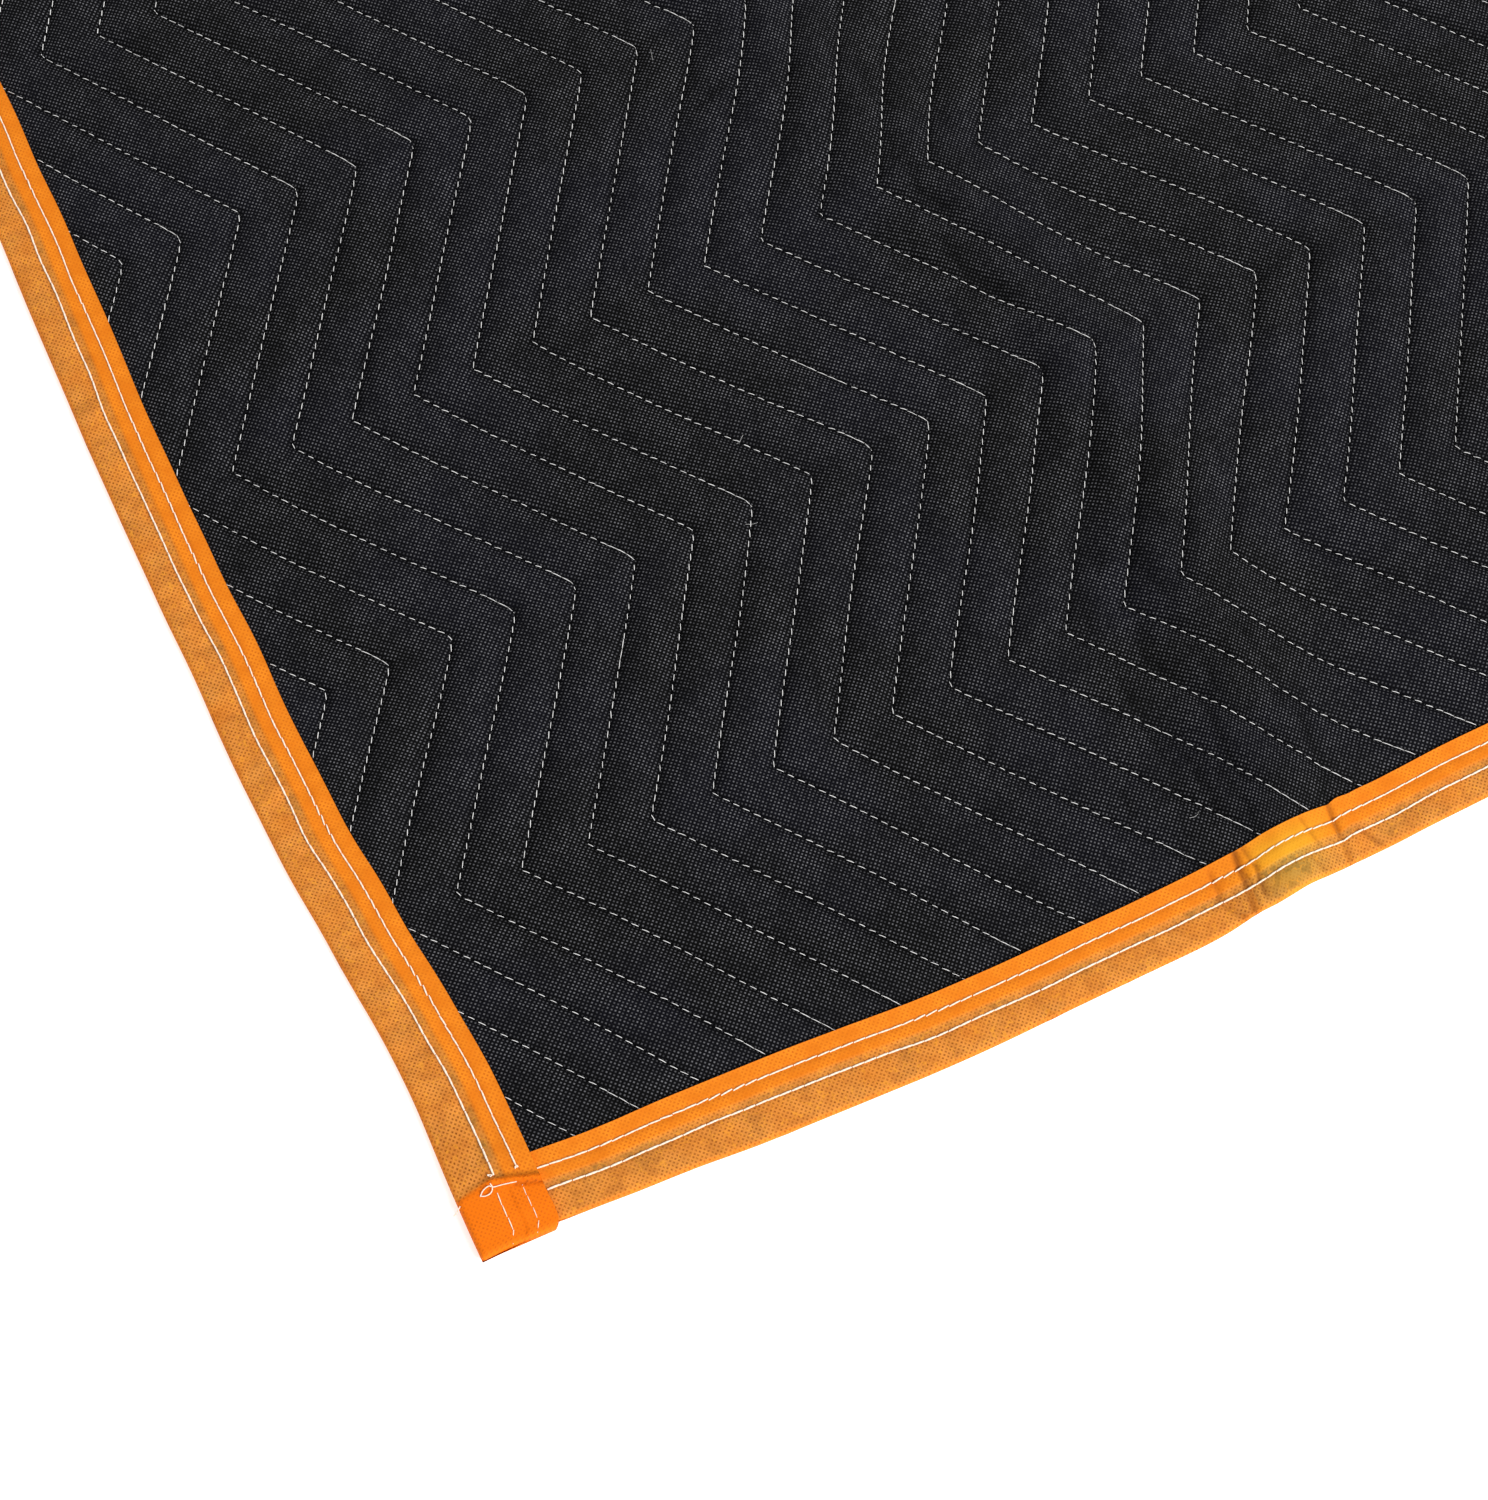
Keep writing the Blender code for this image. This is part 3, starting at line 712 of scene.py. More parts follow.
def merged(points, faces, flat):
    """The same mesh with points in one place made one, and without the faces that this leaves empty."""
    keys = np.round(points / (0.01 * MM)).astype(np.int64)
    _, first, back = np.unique(keys, axis=0, return_index=True, return_inverse=True)
    back = back.reshape(-1)
    kept = []
    for face in faces:
        loop = [int(back[i]) for i in face]
        loop = [i for i, before in zip(loop, loop[-1:] + loop[:-1]) if i != before]
        if len(set(loop)) > 2:
            kept.append(loop)
    used = np.unique([i for face in kept for i in face])
    number = np.zeros(len(first), np.int64)
    number[used] = np.arange(len(used))
    kept = [[int(number[i]) for i in face] for face in kept]
    return points[first][used], kept, flat[first][used]


def shade(from_left, from_front):
    """How much painted shade lies at a place: in a valley, in a fold, and on a puff's flank away from the
    light.
    """
    line = line_number(from_left, from_front)
    from_seam = abs(line - np.round(line)) * LINE_PITCH
    amount = VALLEY_SHADE * np.exp(-((from_seam / VALLEY_SHADE_WIDTH) ** 2))
    # Painted shade on the flank of the puff that faces away from the light.
    dull = DIM_FLANK_SHADE * (1 - smooth_step(line % 1, *DIM_FLANK_ACROSS))
    dull = dull * (1 + DIM_FLANK_UNEVEN * uneven(from_left, from_front, DIM_FLANK_SIZE, 14))
    amount = np.maximum(amount, dull)
    for _, width, path in FINE_FOLDS:
        shadow = near_path(from_left, from_front, path, FOLD_SHADE_WIDTH * width)
        amount = np.maximum(amount, FOLD_SHADE * shadow)
    return amount


cover_points, cover_faces, cover_flat = cover_piece()
cover = add_mesh("quilted_cover", cover_points, cover_faces, cover_flat, cover_material, 60)
add_numbers(cover, "shade", shade(*cover_flat.T))

# %% [markdown]
# Each binding is a strip folded over the edge like a letter C, with a layer above, a rounded fold, and a
# layer below. Its raw upper edge is turned under by 11.5 mm, which leaves a low step, and two rows of
# stitches press it down. The step, the rows and small wrinkles are worked out as a height for each place on
# the strip, so the stitches added later can ask for the same height. Folds are listed one by one, where the
# strip was gathered or handled.

# %% Shape of a binding
BINDING_TOP = EDGE_TOP + LAYER
FOLD_RADIUS = 2.3 * MM
HEM = 11.5 * MM
HEM_STEP = 0.4 * MM
SEWN_ROWS = (6.5 * MM, 14.8 * MM)
ROW_DIP = 0.35 * MM
ROW_DIP_WIDTH = 1 * MM
LIP = 0.25 * MM
LIP_WIDTH = 0.8 * MM
CALM = (30 * MM, 45 * MM)  # rows and wrinkles fade out over this stretch before a strip's end
TAB_LENGTH = 22 * MM
TAB_STEP = 1 * MM
WRINKLES = 0.16 * MM
WRINKLE_SIZE = 5 * MM
# The darkness listed for each fold is painted shade in it.
FOLDS = {  # height and width in mm, how dark, and a path in mm along the strip and in from its edge
    "left": [
        (-0.5, 2.2, 0.2, [(70, 2), (76, 11)]),
        (-0.4, 2.0, 0.15, [(168, 2), (172, 10)]),
        (-0.45, 2.2, 0.2, [(243, 1), (238, 9)]),
        (-0.4, 2.0, 0.15, [(330, 2), (337, 10)]),
        (-0.5, 2.2, 0.2, [(451, 1), (447, 11)]),
    ],
    "front": [
        (-0.7, 1.8, 0.45, [(297.5, 13), (298, 8), (302, 1.5)]),
        (-0.5, 1.6, 0.3, [(299, 22), (298, 14)]),
        (-0.9, 2.2, 0.7, [(311, 24), (309.5, 18), (308.5, 10), (306.7, 1.7)]),
        (-0.5, 1.0, 0.5, [(310.5, 14), (307.5, 1)]),
        (-0.7, 1.6, 0.6, [(315.5, 16), (314, 10), (313, 4.3)]),
        (-0.5, 1.6, 0.4, [(314.5, 24), (315, 17)]),
        (0.7, 5.0, 0, [(322, 5), (336, 7)]),
        (0.4, 4.0, 0, [(323, 18), (338, 19)]),
        (-0.4, 1.2, 0.3, [(342, 23.8), (343, 18), (344, 12.9)]),
        (-0.5, 1.5, 0.25, [(338, 9), (341, 3)]),
        (-0.8, 1.8, 0.5, [(356, 24), (354.5, 16), (354, 9), (353, 1.5)]),
        (-0.3, 0.8, 0.35, [(355.5, 22), (354, 13)]),
        (-0.6, 1.6, 0.4, [(362.4, 11), (367.3, 1.8)]),
        (-0.4, 2.2, 0.15, [(92, 1), (88, 10)]),
        (-0.4, 2.2, 0.15, [(160, 2), (166, 11)]),
        (-0.5, 2.4, 0.2, [(222, 1), (219, 10)]),
    ],
}


def inner_inset(side, along):
    """How far in from its own outer edge the strip's inner edge lies."""
    outer, inner = strip_edges(side, along)
    return inner - outer


def run_length(side):
    return LENGTH if side in SIDES else WIDTH


def from_ends(side, along):
    return np.minimum(along, run_length(side) - along)


def fold_away(inset):
    """How far the rounded fold lies inside the strip's flat faces, at this distance from its edge."""
    short = FOLD_RADIUS * np.clip(1 - inset / FOLD_RADIUS, 0, 1)
    return FOLD_RADIUS - np.sqrt(FOLD_RADIUS**2 - short**2)


def binding_top(side, along, inset):
    """Height of a binding's upper face, before it is laid down."""
    from_inner = inner_inset(side, along) - inset
    end = from_ends(side, along)
    calm = smooth_step(end, *CALM)
    height = BINDING_TOP - HEM_STEP * smooth_step(from_inner, HEM - 0.2 * MM, HEM + 0.6 * MM)
    for row in SEWN_ROWS:
        height = height - ROW_DIP * np.exp(-(((from_inner - row) / ROW_DIP_WIDTH) ** 2)) * calm
    height = height + LIP * np.exp(-from_inner / LIP_WIDTH) * calm
    wrinkles = uneven(along, 0.4 * inset, WRINKLE_SIZE, 31 + len(side))
    wrinkles = wrinkles + 0.8 * uneven(along, 0.7 * inset, 2.4 * WRINKLE_SIZE, 41 + len(side))
    outer = 0.45 + 0.55 * smooth_step(from_inner, HEM, HEM + 3 * MM)
    height = height + WRINKLES * wrinkles * outer * calm
    for rise, width, _, path in FOLDS.get(side, []):
        height = height + rise * MM * near_path(along, inset, path, width)
    if side in SIDES:
        height = height + corner_rise(end - LAYER) + tab_height(end, inset)
    return height - fold_away(inset)


print(f"the upper layer starts {fold_away(np.array(0.0)) / MM:.1f} mm lower at the folded edge")

# %% [markdown]
# At each corner the side binding ends in a tab. The maker folded the strip's end under and sewed across it,
# so the tab stands a layer higher than the rest, and the fold shows as a narrow roll that bends halfway
# across. The tab's outer end is rounded like the fold at the edge.

# %% Corner tabs
RIDGE_HEIGHT = 1.1 * MM
RIDGE_HALF_WIDTH = 1.1 * MM
RIDGE_BEND = 14 * MM
RIDGE_SLOPES = (0.16, 0.28)
RIDGE_PAST_TAB = 1.8 * MM
POCKET_DEPTH = 0.9 * MM  # the roll stands over a narrow pocket, on the tab's side
POCKET_PLACE = 2 * MM
SAG = 0.25 * MM
SAG_SIZE = 7 * MM


def ridge_middle(inset):
    """How far from the strip's end the ridge runs."""
    outwards, inwards = np.maximum(RIDGE_BEND - inset, 0), np.maximum(inset - RIDGE_BEND, 0)
    return TAB_LENGTH + RIDGE_PAST_TAB - RIDGE_SLOPES[0] * outwards - RIDGE_SLOPES[1] * inwards


def tab_height(from_end, inset):
    """How much higher a tab stands than the strip that it ends."""
    middle = ridge_middle(inset)
    tab = TAB_STEP * (1 - smooth_step(from_end, middle - 0.5 * MM, middle + 1 * MM))
    reach = smooth_step(inset, 9 * MM, 15 * MM)
    ridge = RIDGE_HEIGHT * reach * np.exp(-(((from_end - middle) / RIDGE_HALF_WIDTH) ** 4))
    pocket = POCKET_DEPTH * smooth_step(inset, 18 * MM, 22 * MM)
    pocket = pocket * np.exp(-(((from_end - middle + POCKET_PLACE) / (0.7 * MM)) ** 2))
    sag = SAG * uneven(from_end, inset, SAG_SIZE, 51) * (from_end < middle)
    return tab + ridge - pocket + sag - fold_away(from_end)


print(f"a tab stands {(BINDING_TOP + LAYER + TAB_STEP) / MM:.1f} mm high")

# %% [markdown]
# The strip's section is a closed loop of points: over the top from the hem to the fold, back under it, and
# along the inside of both layers. Sweeping that loop along the edge makes the whole binding in one piece.
# Stations stand close together where the camera looks, and far apart elsewhere.

# %% Sweep a binding
TOP_FROM_INNER = [
    0, 0.4, 1, 2.4, 4.2, 5.3, 5.8, 6.3, 6.8, 7.4, 9, 10.6, 11.3, 11.9, 12.8, 13.8, 14.4, 14.9, 15.4, 16.1,
    17.6, 19.4,
]
FOLD_INSETS = [2.3, 1.5, 0.8, 0.3, 0]
UNDER_INSETS = [0, 0.8, 2.3, 12, 20]
INSIDE_INSETS = [20, 12, 1]
TAB_ZONE = 34  # these five are in mm too
FINE_END = 640
FINE_STEP = 1.7
FAR_STEP = 12
UNSEEN_STEP = 7


def stations(side):
    """Places along a strip where its section is drawn, close together where the camera looks."""
    size = run_length(side) / MM
    start = 0 if side in SIDES else LAYER / MM
    runs = {
        "left": [
            (0, TAB_ZONE, 0.75), (TAB_ZONE, FINE_END, FINE_STEP), (FINE_END, size - TAB_ZONE, FAR_STEP),
        ],
        "right": [(0, TAB_ZONE, 1.5), (TAB_ZONE, size - TAB_ZONE, UNSEEN_STEP)],
        "front": [(start, FINE_END, FINE_STEP), (FINE_END, size - start, FAR_STEP), (285, 375, 0.8)],
        "back": [(start, size - start, UNSEEN_STEP)],
    }
    parts = [np.arange(*run) for run in runs[side]]
    if side in SIDES:
        parts += [size - np.arange(TAB_ZONE, -0.5, -1.5)[:-1], [1.05, size - 1.05]]
    return np.concatenate([*parts, [size - start]]) * MM


def on_pad(side, along, inset):
    """A place on a strip as distances from the pad's left and front edges."""
    inset = inset + strip_edges(side, along)[0]
    if side == "left":
        hang = (HANG - HANG_SKEW * inset) * (1 - smooth_step(along, HANG_END, HANG_START))
        return inset, along - hang
    if side == "right":
        return WIDTH - inset, along
    if side == "front":
        return along, inset + LAYER
    return along, LENGTH - inset - LAYER


def at_insets(along, insets):
    """The same insets, given in mm, at each place along the strip."""
    return along * 0 + np.array([insets]) * MM


def binding_piece(side):
    along = np.unique(np.round(stations(side), 6))[:, None]
    inner = inner_inset(side, along)
    end = from_ends(side, along)
    is_side = side in SIDES
    top_inset = np.concatenate([inner - at_insets(along, TOP_FROM_INNER), at_insets(along, FOLD_INSETS)], 1)
    top_z = binding_top(side, along, top_inset)
    under_inset = np.concatenate([at_insets(along, UNDER_INSETS), inner], 1)
    under_z = fold_away(under_inset) + (fold_away(end) if is_side else corner_rise(end))
    room_inset = np.concatenate([inner, at_insets(along, INSIDE_INSETS)], 1)
    floor_z = room_inset * 0 + CLOTH + (0 if is_side else corner_rise(end))
    ceiling_z = room_inset * 0 + BINDING_TOP - CLOTH + (corner_rise(end - LAYER) if is_side else 0)
    if is_side:
        closed = end < CLOTH + 0.01 * MM
        floor_z = np.where(closed, 3.55 * MM, floor_z)
        ceiling_z = np.where(closed, 3.65 * MM, ceiling_z)
    inset = np.concatenate([top_inset, under_inset, room_inset, room_inset[:, ::-1]], 1)
    height = np.concatenate([top_z, under_z, floor_z, ceiling_z[:, ::-1]], 1)

    place = along + inset * 0
    points = settle(*on_pad(side, place, inset), height).reshape(-1, 3)
    from_inner = inner - inset
    flat = np.stack([place, from_inner], axis=-1).reshape(-1, 2)
    count, around = inset.shape
    faces = grid_faces(count, around, wrap=True)
    if side in ("left", "back"):
        faces = faces[:, ::-1]
    first = list(range(around))
    last = [i + (count - 1) * around for i in first]
    caps = [first[::-1], last] if side in ("right", "front") else [first, last[::-1]]
    return points, faces.tolist() + caps, flat, (place, inset, from_inner)


# %% [markdown]
# How much black shows through the orange follows from the layers: none under the hem, and nearly all of it
# where one layer lies alone, though less along the fold, where a highlight is painted. A band just past the
# hem's edge, before the outer row, is a little more olive, partly as painted shade of the step and partly as
# the black showing through; the whole front strip is a touch more olive as painted shade, since more light
# falls on it; and a few places are stretched thinner still. Creases, the grooves beside the rows, the foot
# of each tab's roll and the pocket under it get painted shade, and the bulges of the gather a painted
# highlight.
# On the tabs three layers lie together, and the orange there is deeper than anywhere else.

# %% Where the pad shows through
STRETCHED = {  # along the strip and in from its outer edge, length, width, all in mm, and how olive
    "front": [
        (327, 6, 11, 5, 0.75), (318, 11, 5, 4, 0.4), (52, 12.5, 16, 2.2, 0.4), (60, 6, 28, 7, 0.12),
        (260, 11, 40, 5, 0.12), (372, 5, 8, 4, 0.2),
    ],
    "left": [
        (38, 17, 14, 2.6, 0.5), (78, 16, 18, 2.4, 0.3), (214, 8, 9, 4, 0.15), (440, 13.5, 30, 2.2, 0.15),
    ],
}
# Painted highlight, yellowish, on the bulges of the gather: along the strip and in from its outer edge,
# length, width, all in mm, and how strong.
GATHER_HIGHLIGHTS = {"front": [(329, 9, 17, 11, 0.75), (338, 19, 16, 6, 0.35), (319, 20, 6, 5, 0.3)]}
# A band past the hem's step: partly painted shade of the step, partly the black showing through.
SHADED_OLIVE_BAND_MIDDLE = 13.2 * MM
SHADED_OLIVE_BAND_HALF_WIDTH = 1.6 * MM
MOTTLE_SIZE = 11 * MM
FINE_MOTTLE_SIZE = 5 * MM
# Painted shade beside the rows of thread, in the folds of the strips, and at the foot and pocket of each
# tab's roll.
ROW_SHADE = 0.3
ROW_SHADE_PLACE = 0.55 * MM
ROW_SHADE_WIDTH = 0.35 * MM
BINDING_FOLD_SHADE_WIDTH = 0.6
TAB_FOOT_SHADE = 0.28
POCKET_SHADE = 0.5


def patches(table, side, place, inset):
    """How strongly the oval patches that a table lists for this strip act at each place."""
    total = 0 * inset
    for x, y, long, wide, strength in table.get(side, []):
        away = ((place - x * MM) / (long * MM)) ** 2 + ((inset - y * MM) / (wide * MM)) ** 2
        total = total + strength * np.exp(-away)
    return total


def layers_shown(side, place, inset, from_inner):
    """How much of a single layer shows, how olive it is, its painted highlight and shade, and if it is a
    tab.
    """
    mottle = uneven(place, 1.6 * inset, MOTTLE_SIZE, 61 + len(side))
    mottle = mottle + 0.6 * uneven(place, inset, FINE_MOTTLE_SIZE, 65 + len(side))
    single = smooth_step(from_inner, HEM - 0.7 * MM, HEM + 0.9 * MM)
    # Along the folded outer edge less black shows: a painted highlight on the fold.
    single = single * (0.4 + 0.6 * smooth_step(inset, 0.5 * MM, 1.8 * MM))
    # A band past the hem's step is more olive: partly painted shade of the step, partly the black showing
    # through.
    olive = np.exp(-(((from_inner - SHADED_OLIVE_BAND_MIDDLE) / SHADED_OLIVE_BAND_HALF_WIDTH) ** 2)) * (0.2 + 0.07 * mottle)
    # Painted shade: the whole front strip is made a little more olive, since more light falls on it.
    olive = olive + 0.05 * np.clip(mottle, 0, 1) + (0.06 if side == "front" else 0)
    olive = np.minimum(olive + patches(STRETCHED, side, place, inset), 0.95) * single
    # Painted shade: in the grooves beside the rows, in the folds, and at the foot and in the pocket of each
    # tab's roll.
    crease_shade = 0
    for row in SEWN_ROWS:
        beside = abs(from_inner - row) - ROW_SHADE_PLACE
        crease_shade = np.maximum(crease_shade, ROW_SHADE * np.exp(-((beside / ROW_SHADE_WIDTH) ** 2)))
    for _, width, dark, path in FOLDS.get(side, []):
        crease_shade = np.maximum(crease_shade, dark * near_path(place, inset, path, BINDING_FOLD_SHADE_WIDTH * width))
    tab = 0 * single
    if side in SIDES:
        end = from_ends(side, place)
        middle = ridge_middle(inset)
        tab = 1 - smooth_step(end, middle, middle + 1.2 * MM)
        foot = np.exp(-(((end - middle - 1.6 * MM) / (0.6 * MM)) ** 2)) * smooth_step(inset, 4 * MM, 9 * MM)
        pocket = np.exp(-(((end - middle + POCKET_PLACE) / (0.5 * MM)) ** 2))
        pocket = pocket * smooth_step(inset, 19 * MM, 22 * MM)
        crease_shade = np.maximum(crease_shade * (1 - tab), np.maximum(TAB_FOOT_SHADE * foot, POCKET_SHADE * pocket))
    gather_highlight = patches(GATHER_HIGHLIGHTS, side, place, inset)
    return single * (0.88 + 0.1 * mottle), olive * (1 - tab), gather_highlight, crease_shade, tab


bindings = {}
for side in ("left", "right", "front", "back"):
    points, faces, flat, where = binding_piece(side)
    strip = add_mesh(f"binding_{side}_cloth", points, faces, flat, binding_material, 70)
    for name, values in zip(LAYER_NAMES, layers_shown(side, *where)):
        add_numbers(strip, name, values)
    bindings[side] = strip

# %% [markdown]
# A lockstitch shows as a row of short thread lengths that dip into the cloth at both ends. Thousands of
# them are cheap as one mesh: a little spindle is worked out once, and array arithmetic puts a copy at each
# place. Each stitch is turned a few degrees against its line, because the thread's twist pulls it round,
# and no two are quite the same length.

# %% One mesh of many stitches
def spindle(sides, rings, taper=0.45):
    """A closed spindle one unit long and thick: points as along, across and up, and its faces."""
    points = []
    for ring in range(rings):
        along = (ring / (rings - 1) - 0.5) * 0.96
        fat = 0.5 * (1 - taper * (2 * along) ** 4)
        for corner in range(sides):
            angle = math.tau * (corner + 0.5) / sides
            points.append((along, fat * math.cos(angle), fat * math.sin(angle)))
    faces = grid_faces(rings, sides, wrap=True).tolist()
    faces.append(list(range(sides)))
    faces.append([i + (rings - 1) * sides for i in range(sides)][::-1])
    return np.array(points), faces


def stitch_mesh(name, starts, ends, thick, arch, shape, material):
    """Spindles from each start to each end, arched by some height, joined in one mesh."""
    template, template_faces = shape
    along = ends - starts
    reach = np.linalg.norm(along, axis=1, keepdims=True)
    along = along / reach
    across = np.cross([0, 0, 1], along)
    across = across / np.linalg.norm(across, axis=1, keepdims=True)
    up = np.cross(along, across)
    t = template[None, :, :]
    middle = (starts + ends)[:, None, :] / 2
    thick = np.broadcast_to(thick, len(starts))[:, None, None]
    bend = arch * (1 - (2 * t[..., :1]) ** 2)
    points = middle + along[:, None] * t[..., :1] * reach[:, None]
    points = points + across[:, None] * t[..., 1:2] * thick + up[:, None] * (t[..., 2:] * thick + bend)
    count = len(template)
    base = np.arange(len(starts)) * count
    faces = []
    for face in template_faces:
        faces += (np.array(face)[None, :] + base[:, None]).tolist()
    flat = np.stack([t[..., 0] * reach, t[..., 1] * thick[..., 0] + 0 * reach], axis=-1)
    return add_mesh(name, points, faces, flat, material, 80)


print(f"a stitch close to the camera has {len(spindle(5, 3)[1])} faces")

# %% [markdown]
# The quilting machine sews every line at once, with stitches 4.3 mm apart: under 3 mm of thread on top and
# a gap where it dives. Here and there, and where the lines turn at their right corners, the thread was
# pulled up and shows almost unbroken. The lines are walked by their true length, so the stitches keep their
# pitch round the corners. Stitches close to the camera get a rounder shape than the tens of thousands far
# away.

# %% Quilting stitches
STITCH_PITCH = 4.3 * MM
STITCH_LENGTH = 2.75 * MM
STITCH_THICK = 0.33 * MM
TURN_START = -3.3 * MM
TURN_END = 8 * MM
STITCH_SLANT = math.radians(6)
NEAR_WIDTH = 640 * MM
NEAR_MARGIN = 20 * MM
STITCH_LIFT = 0.15 * MM
STITCH_ARCH = 0.25 * MM
WALK_STEP = 0.25 * MM
WANDER = 0.35 * MM
PLACE_JITTER = 0.12 * MM
LENGTH_JITTER = 0.15 * MM
TIGHTNESS = 0.25 * MM
PULLED_ABOVE = 1.75
TURNS_PULLED = 0.8


def quilting_places():
    """Start, end and slant of every quilting stitch on the flat pad, from its left and front edges."""
    draw = np.random.default_rng(71)
    depth = np.arange(BINDING_WIDTH - 5 * MM, LENGTH - BINDING_WIDTH + 5 * MM, WALK_STEP)
    starts, ends, tilts = [], [], []
    for line in range(first_line, last_line + 1):
        across = FIRST_LINE_FROM_LEFT + line * LINE_PITCH + zigzag(depth, CORNER_ROUND)
        across = across + WANDER * uneven(depth, 0.0, 40 * MM, 200 + line)
        walked = np.concatenate([[0], np.cumsum(np.hypot(np.diff(across), np.diff(depth)))])
        begin = np.arange(draw.uniform(0, STITCH_PITCH), walked[-1] - STITCH_PITCH, STITCH_PITCH)
        begin = begin + draw.normal(0, PLACE_JITTER, len(begin))
        tight = TIGHTNESS * uneven(begin, 0.0, 30 * MM, 300 + line)
        length = STITCH_LENGTH + tight + draw.normal(0, LENGTH_JITTER, len(begin))
        past_turn = (np.interp(begin, walked, depth) - FIRST_CORNER_FROM_FRONT) % (2 * HALF_ZIGZAG)
        past_turn = np.where(past_turn > HALF_ZIGZAG, past_turn - 2 * HALF_ZIGZAG, past_turn)
        pulled = (past_turn > TURN_START) & (past_turn < TURN_END) & (draw.random() < TURNS_PULLED)
        pulled |= uneven(begin, 0.0, 35 * MM, 400 + line) > PULLED_ABOVE
        finish = begin + np.where(pulled, STITCH_PITCH - 0.1 * MM, length)
        starts.append(np.stack([np.interp(begin, walked, across), np.interp(begin, walked, depth)], 1))
        ends.append(np.stack([np.interp(finish, walked, across), np.interp(finish, walked, depth)], 1))
        tilts.append(np.where(pulled, 0, STITCH_SLANT) + draw.normal(0, math.radians(2), len(begin)))
    starts, ends, tilts = np.concatenate(starts), np.concatenate(ends), np.concatenate(tilts)
    shown = from_strips(*slipped(*((starts + ends) / 2).T)) > -0.5 * MM
    return starts[shown], ends[shown], tilts[shown]


def slanted(starts, ends, angle):
    """Turns each stitch about its middle on the flat pad."""
    middle = (starts + ends) / 2
    half = (ends - starts) / 2
    c, s = np.cos(angle), np.sin(angle)
    turned = np.stack([half[:, 0] * c - half[:, 1] * s, half[:, 0] * s + half[:, 1] * c], 1)
    return middle - turned, middle + turned


starts, ends = slanted(*quilting_places())
start_points = settle(*slipped(*starts.T), cover_top(*starts.T) + STITCH_LIFT)
end_points = settle(*slipped(*ends.T), cover_top(*ends.T) + STITCH_LIFT)
near = (starts[:, 0] < NEAR_WIDTH) & (starts[:, 1] < NEAR_DEPTH + NEAR_MARGIN)
far_left = ~near & (starts[:, 0] < WIDTH / 2)
far_right = ~near & ~far_left
thick = STITCH_THICK * np.random.default_rng(72).uniform(0.85, 1.15, len(starts))
far_shape = spindle(3, 2, 0.1)
stitches = []
for name, part, shape in (
    ("quilting_near", near, spindle(5, 3)),
    ("quilting_left", far_left, far_shape),
    ("quilting_right", far_right, far_shape),
):
    line = (start_points[part], end_points[part], thick[part], STITCH_ARCH, shape)
    stitches.append(stitch_mesh(name, *line, quilting_material))
print(f"{len(starts)} quilting stitches")

# %% [markdown]
# The bindings are sewn with a heavier thread in longer stitches that almost touch, so each row reads as one
# cream line. The inner row was pulled tighter, so it sits deeper and looks thinner. On the tabs the rows
# were sewn apart from the rest, a little to the side, with thin thread that the needle pulled half under.

# %% Binding stitches
BINDING_STITCH_PITCH = 4.7 * MM
BINDING_STITCH_LENGTH = 4.75 * MM
BINDING_THREADS = (0.66 * MM, 0.8 * MM)
ROW_LIFTS = (0.08 * MM, 0.12 * MM)
ROW_WOBBLE = 0.22 * MM
BRIDGE = 3.5 * MM
TAB_ROWS = (7.4 * MM, 16.4 * MM)
TAB_THREADS = (0.36 * MM, 0.5 * MM)
TAB_STITCH_LENGTHS = (4.0 * MM, 4.55 * MM)
TAB_LIFT = 0.08 * MM
ROW_LEAN = 0.06 * MM  # how far each end of a stitch stands beside its row, which makes it slant
TAB_LEAN = 0.2 * MM
ROW_ARCH = 0.14 * MM
TAB_ARCH = 0.1 * MM


def row_points(side, along, row, lift):
    """Places on a row of thread, which is taut and bridges the creases."""
    inset = inner_inset(side, along) - row + ROW_WOBBLE * uneven(along, 0.0, 14 * MM, 95 + round(row / MM))
    height = binding_top(side, along, inset)
    beside = binding_top(side, along - BRIDGE, inset) + binding_top(side, along + BRIDGE, inset)
    taut = smooth_step(from_ends(side, along), 35 * MM, 45 * MM)
    height = height + np.maximum(beside / 2 - height, 0) * taut
    return settle(*on_pad(side, along, inset), height + lift)


def binding_row(side, row, lift):
    """Start and end points of the stitches of one row."""
    draw = np.random.default_rng(81 + len(side) + round(row / MM))
    skip = TAB_LENGTH + 3.2 * MM if side in SIDES else BINDING_WIDTH + 2 * MM
    begin = np.arange(skip, run_length(side) - skip - BINDING_STITCH_PITCH, BINDING_STITCH_PITCH)
    begin = begin + draw.normal(0, 0.1 * MM, len(begin))
    start = row_points(side, begin, row + ROW_LEAN, lift)
    return start, row_points(side, begin + BINDING_STITCH_LENGTH, row - ROW_LEAN, lift)


def tab_row(side, row, length):
    """Start and end points of one row across both tabs of a side strip."""
    draw = np.random.default_rng(91 + len(side) + round(row / MM))
    begin = np.arange(0.6 * MM, TAB_LENGTH - 5 * MM, BINDING_STITCH_PITCH)
    begin = begin + draw.normal(0, 0.15 * MM, len(begin))
    finish = np.concatenate([begin + length, LENGTH - begin - length])
    begin = np.concatenate([begin, LENGTH - begin])
    return row_points(side, begin, row, TAB_LIFT), row_points(side, finish, row - TAB_LEAN, TAB_LIFT)


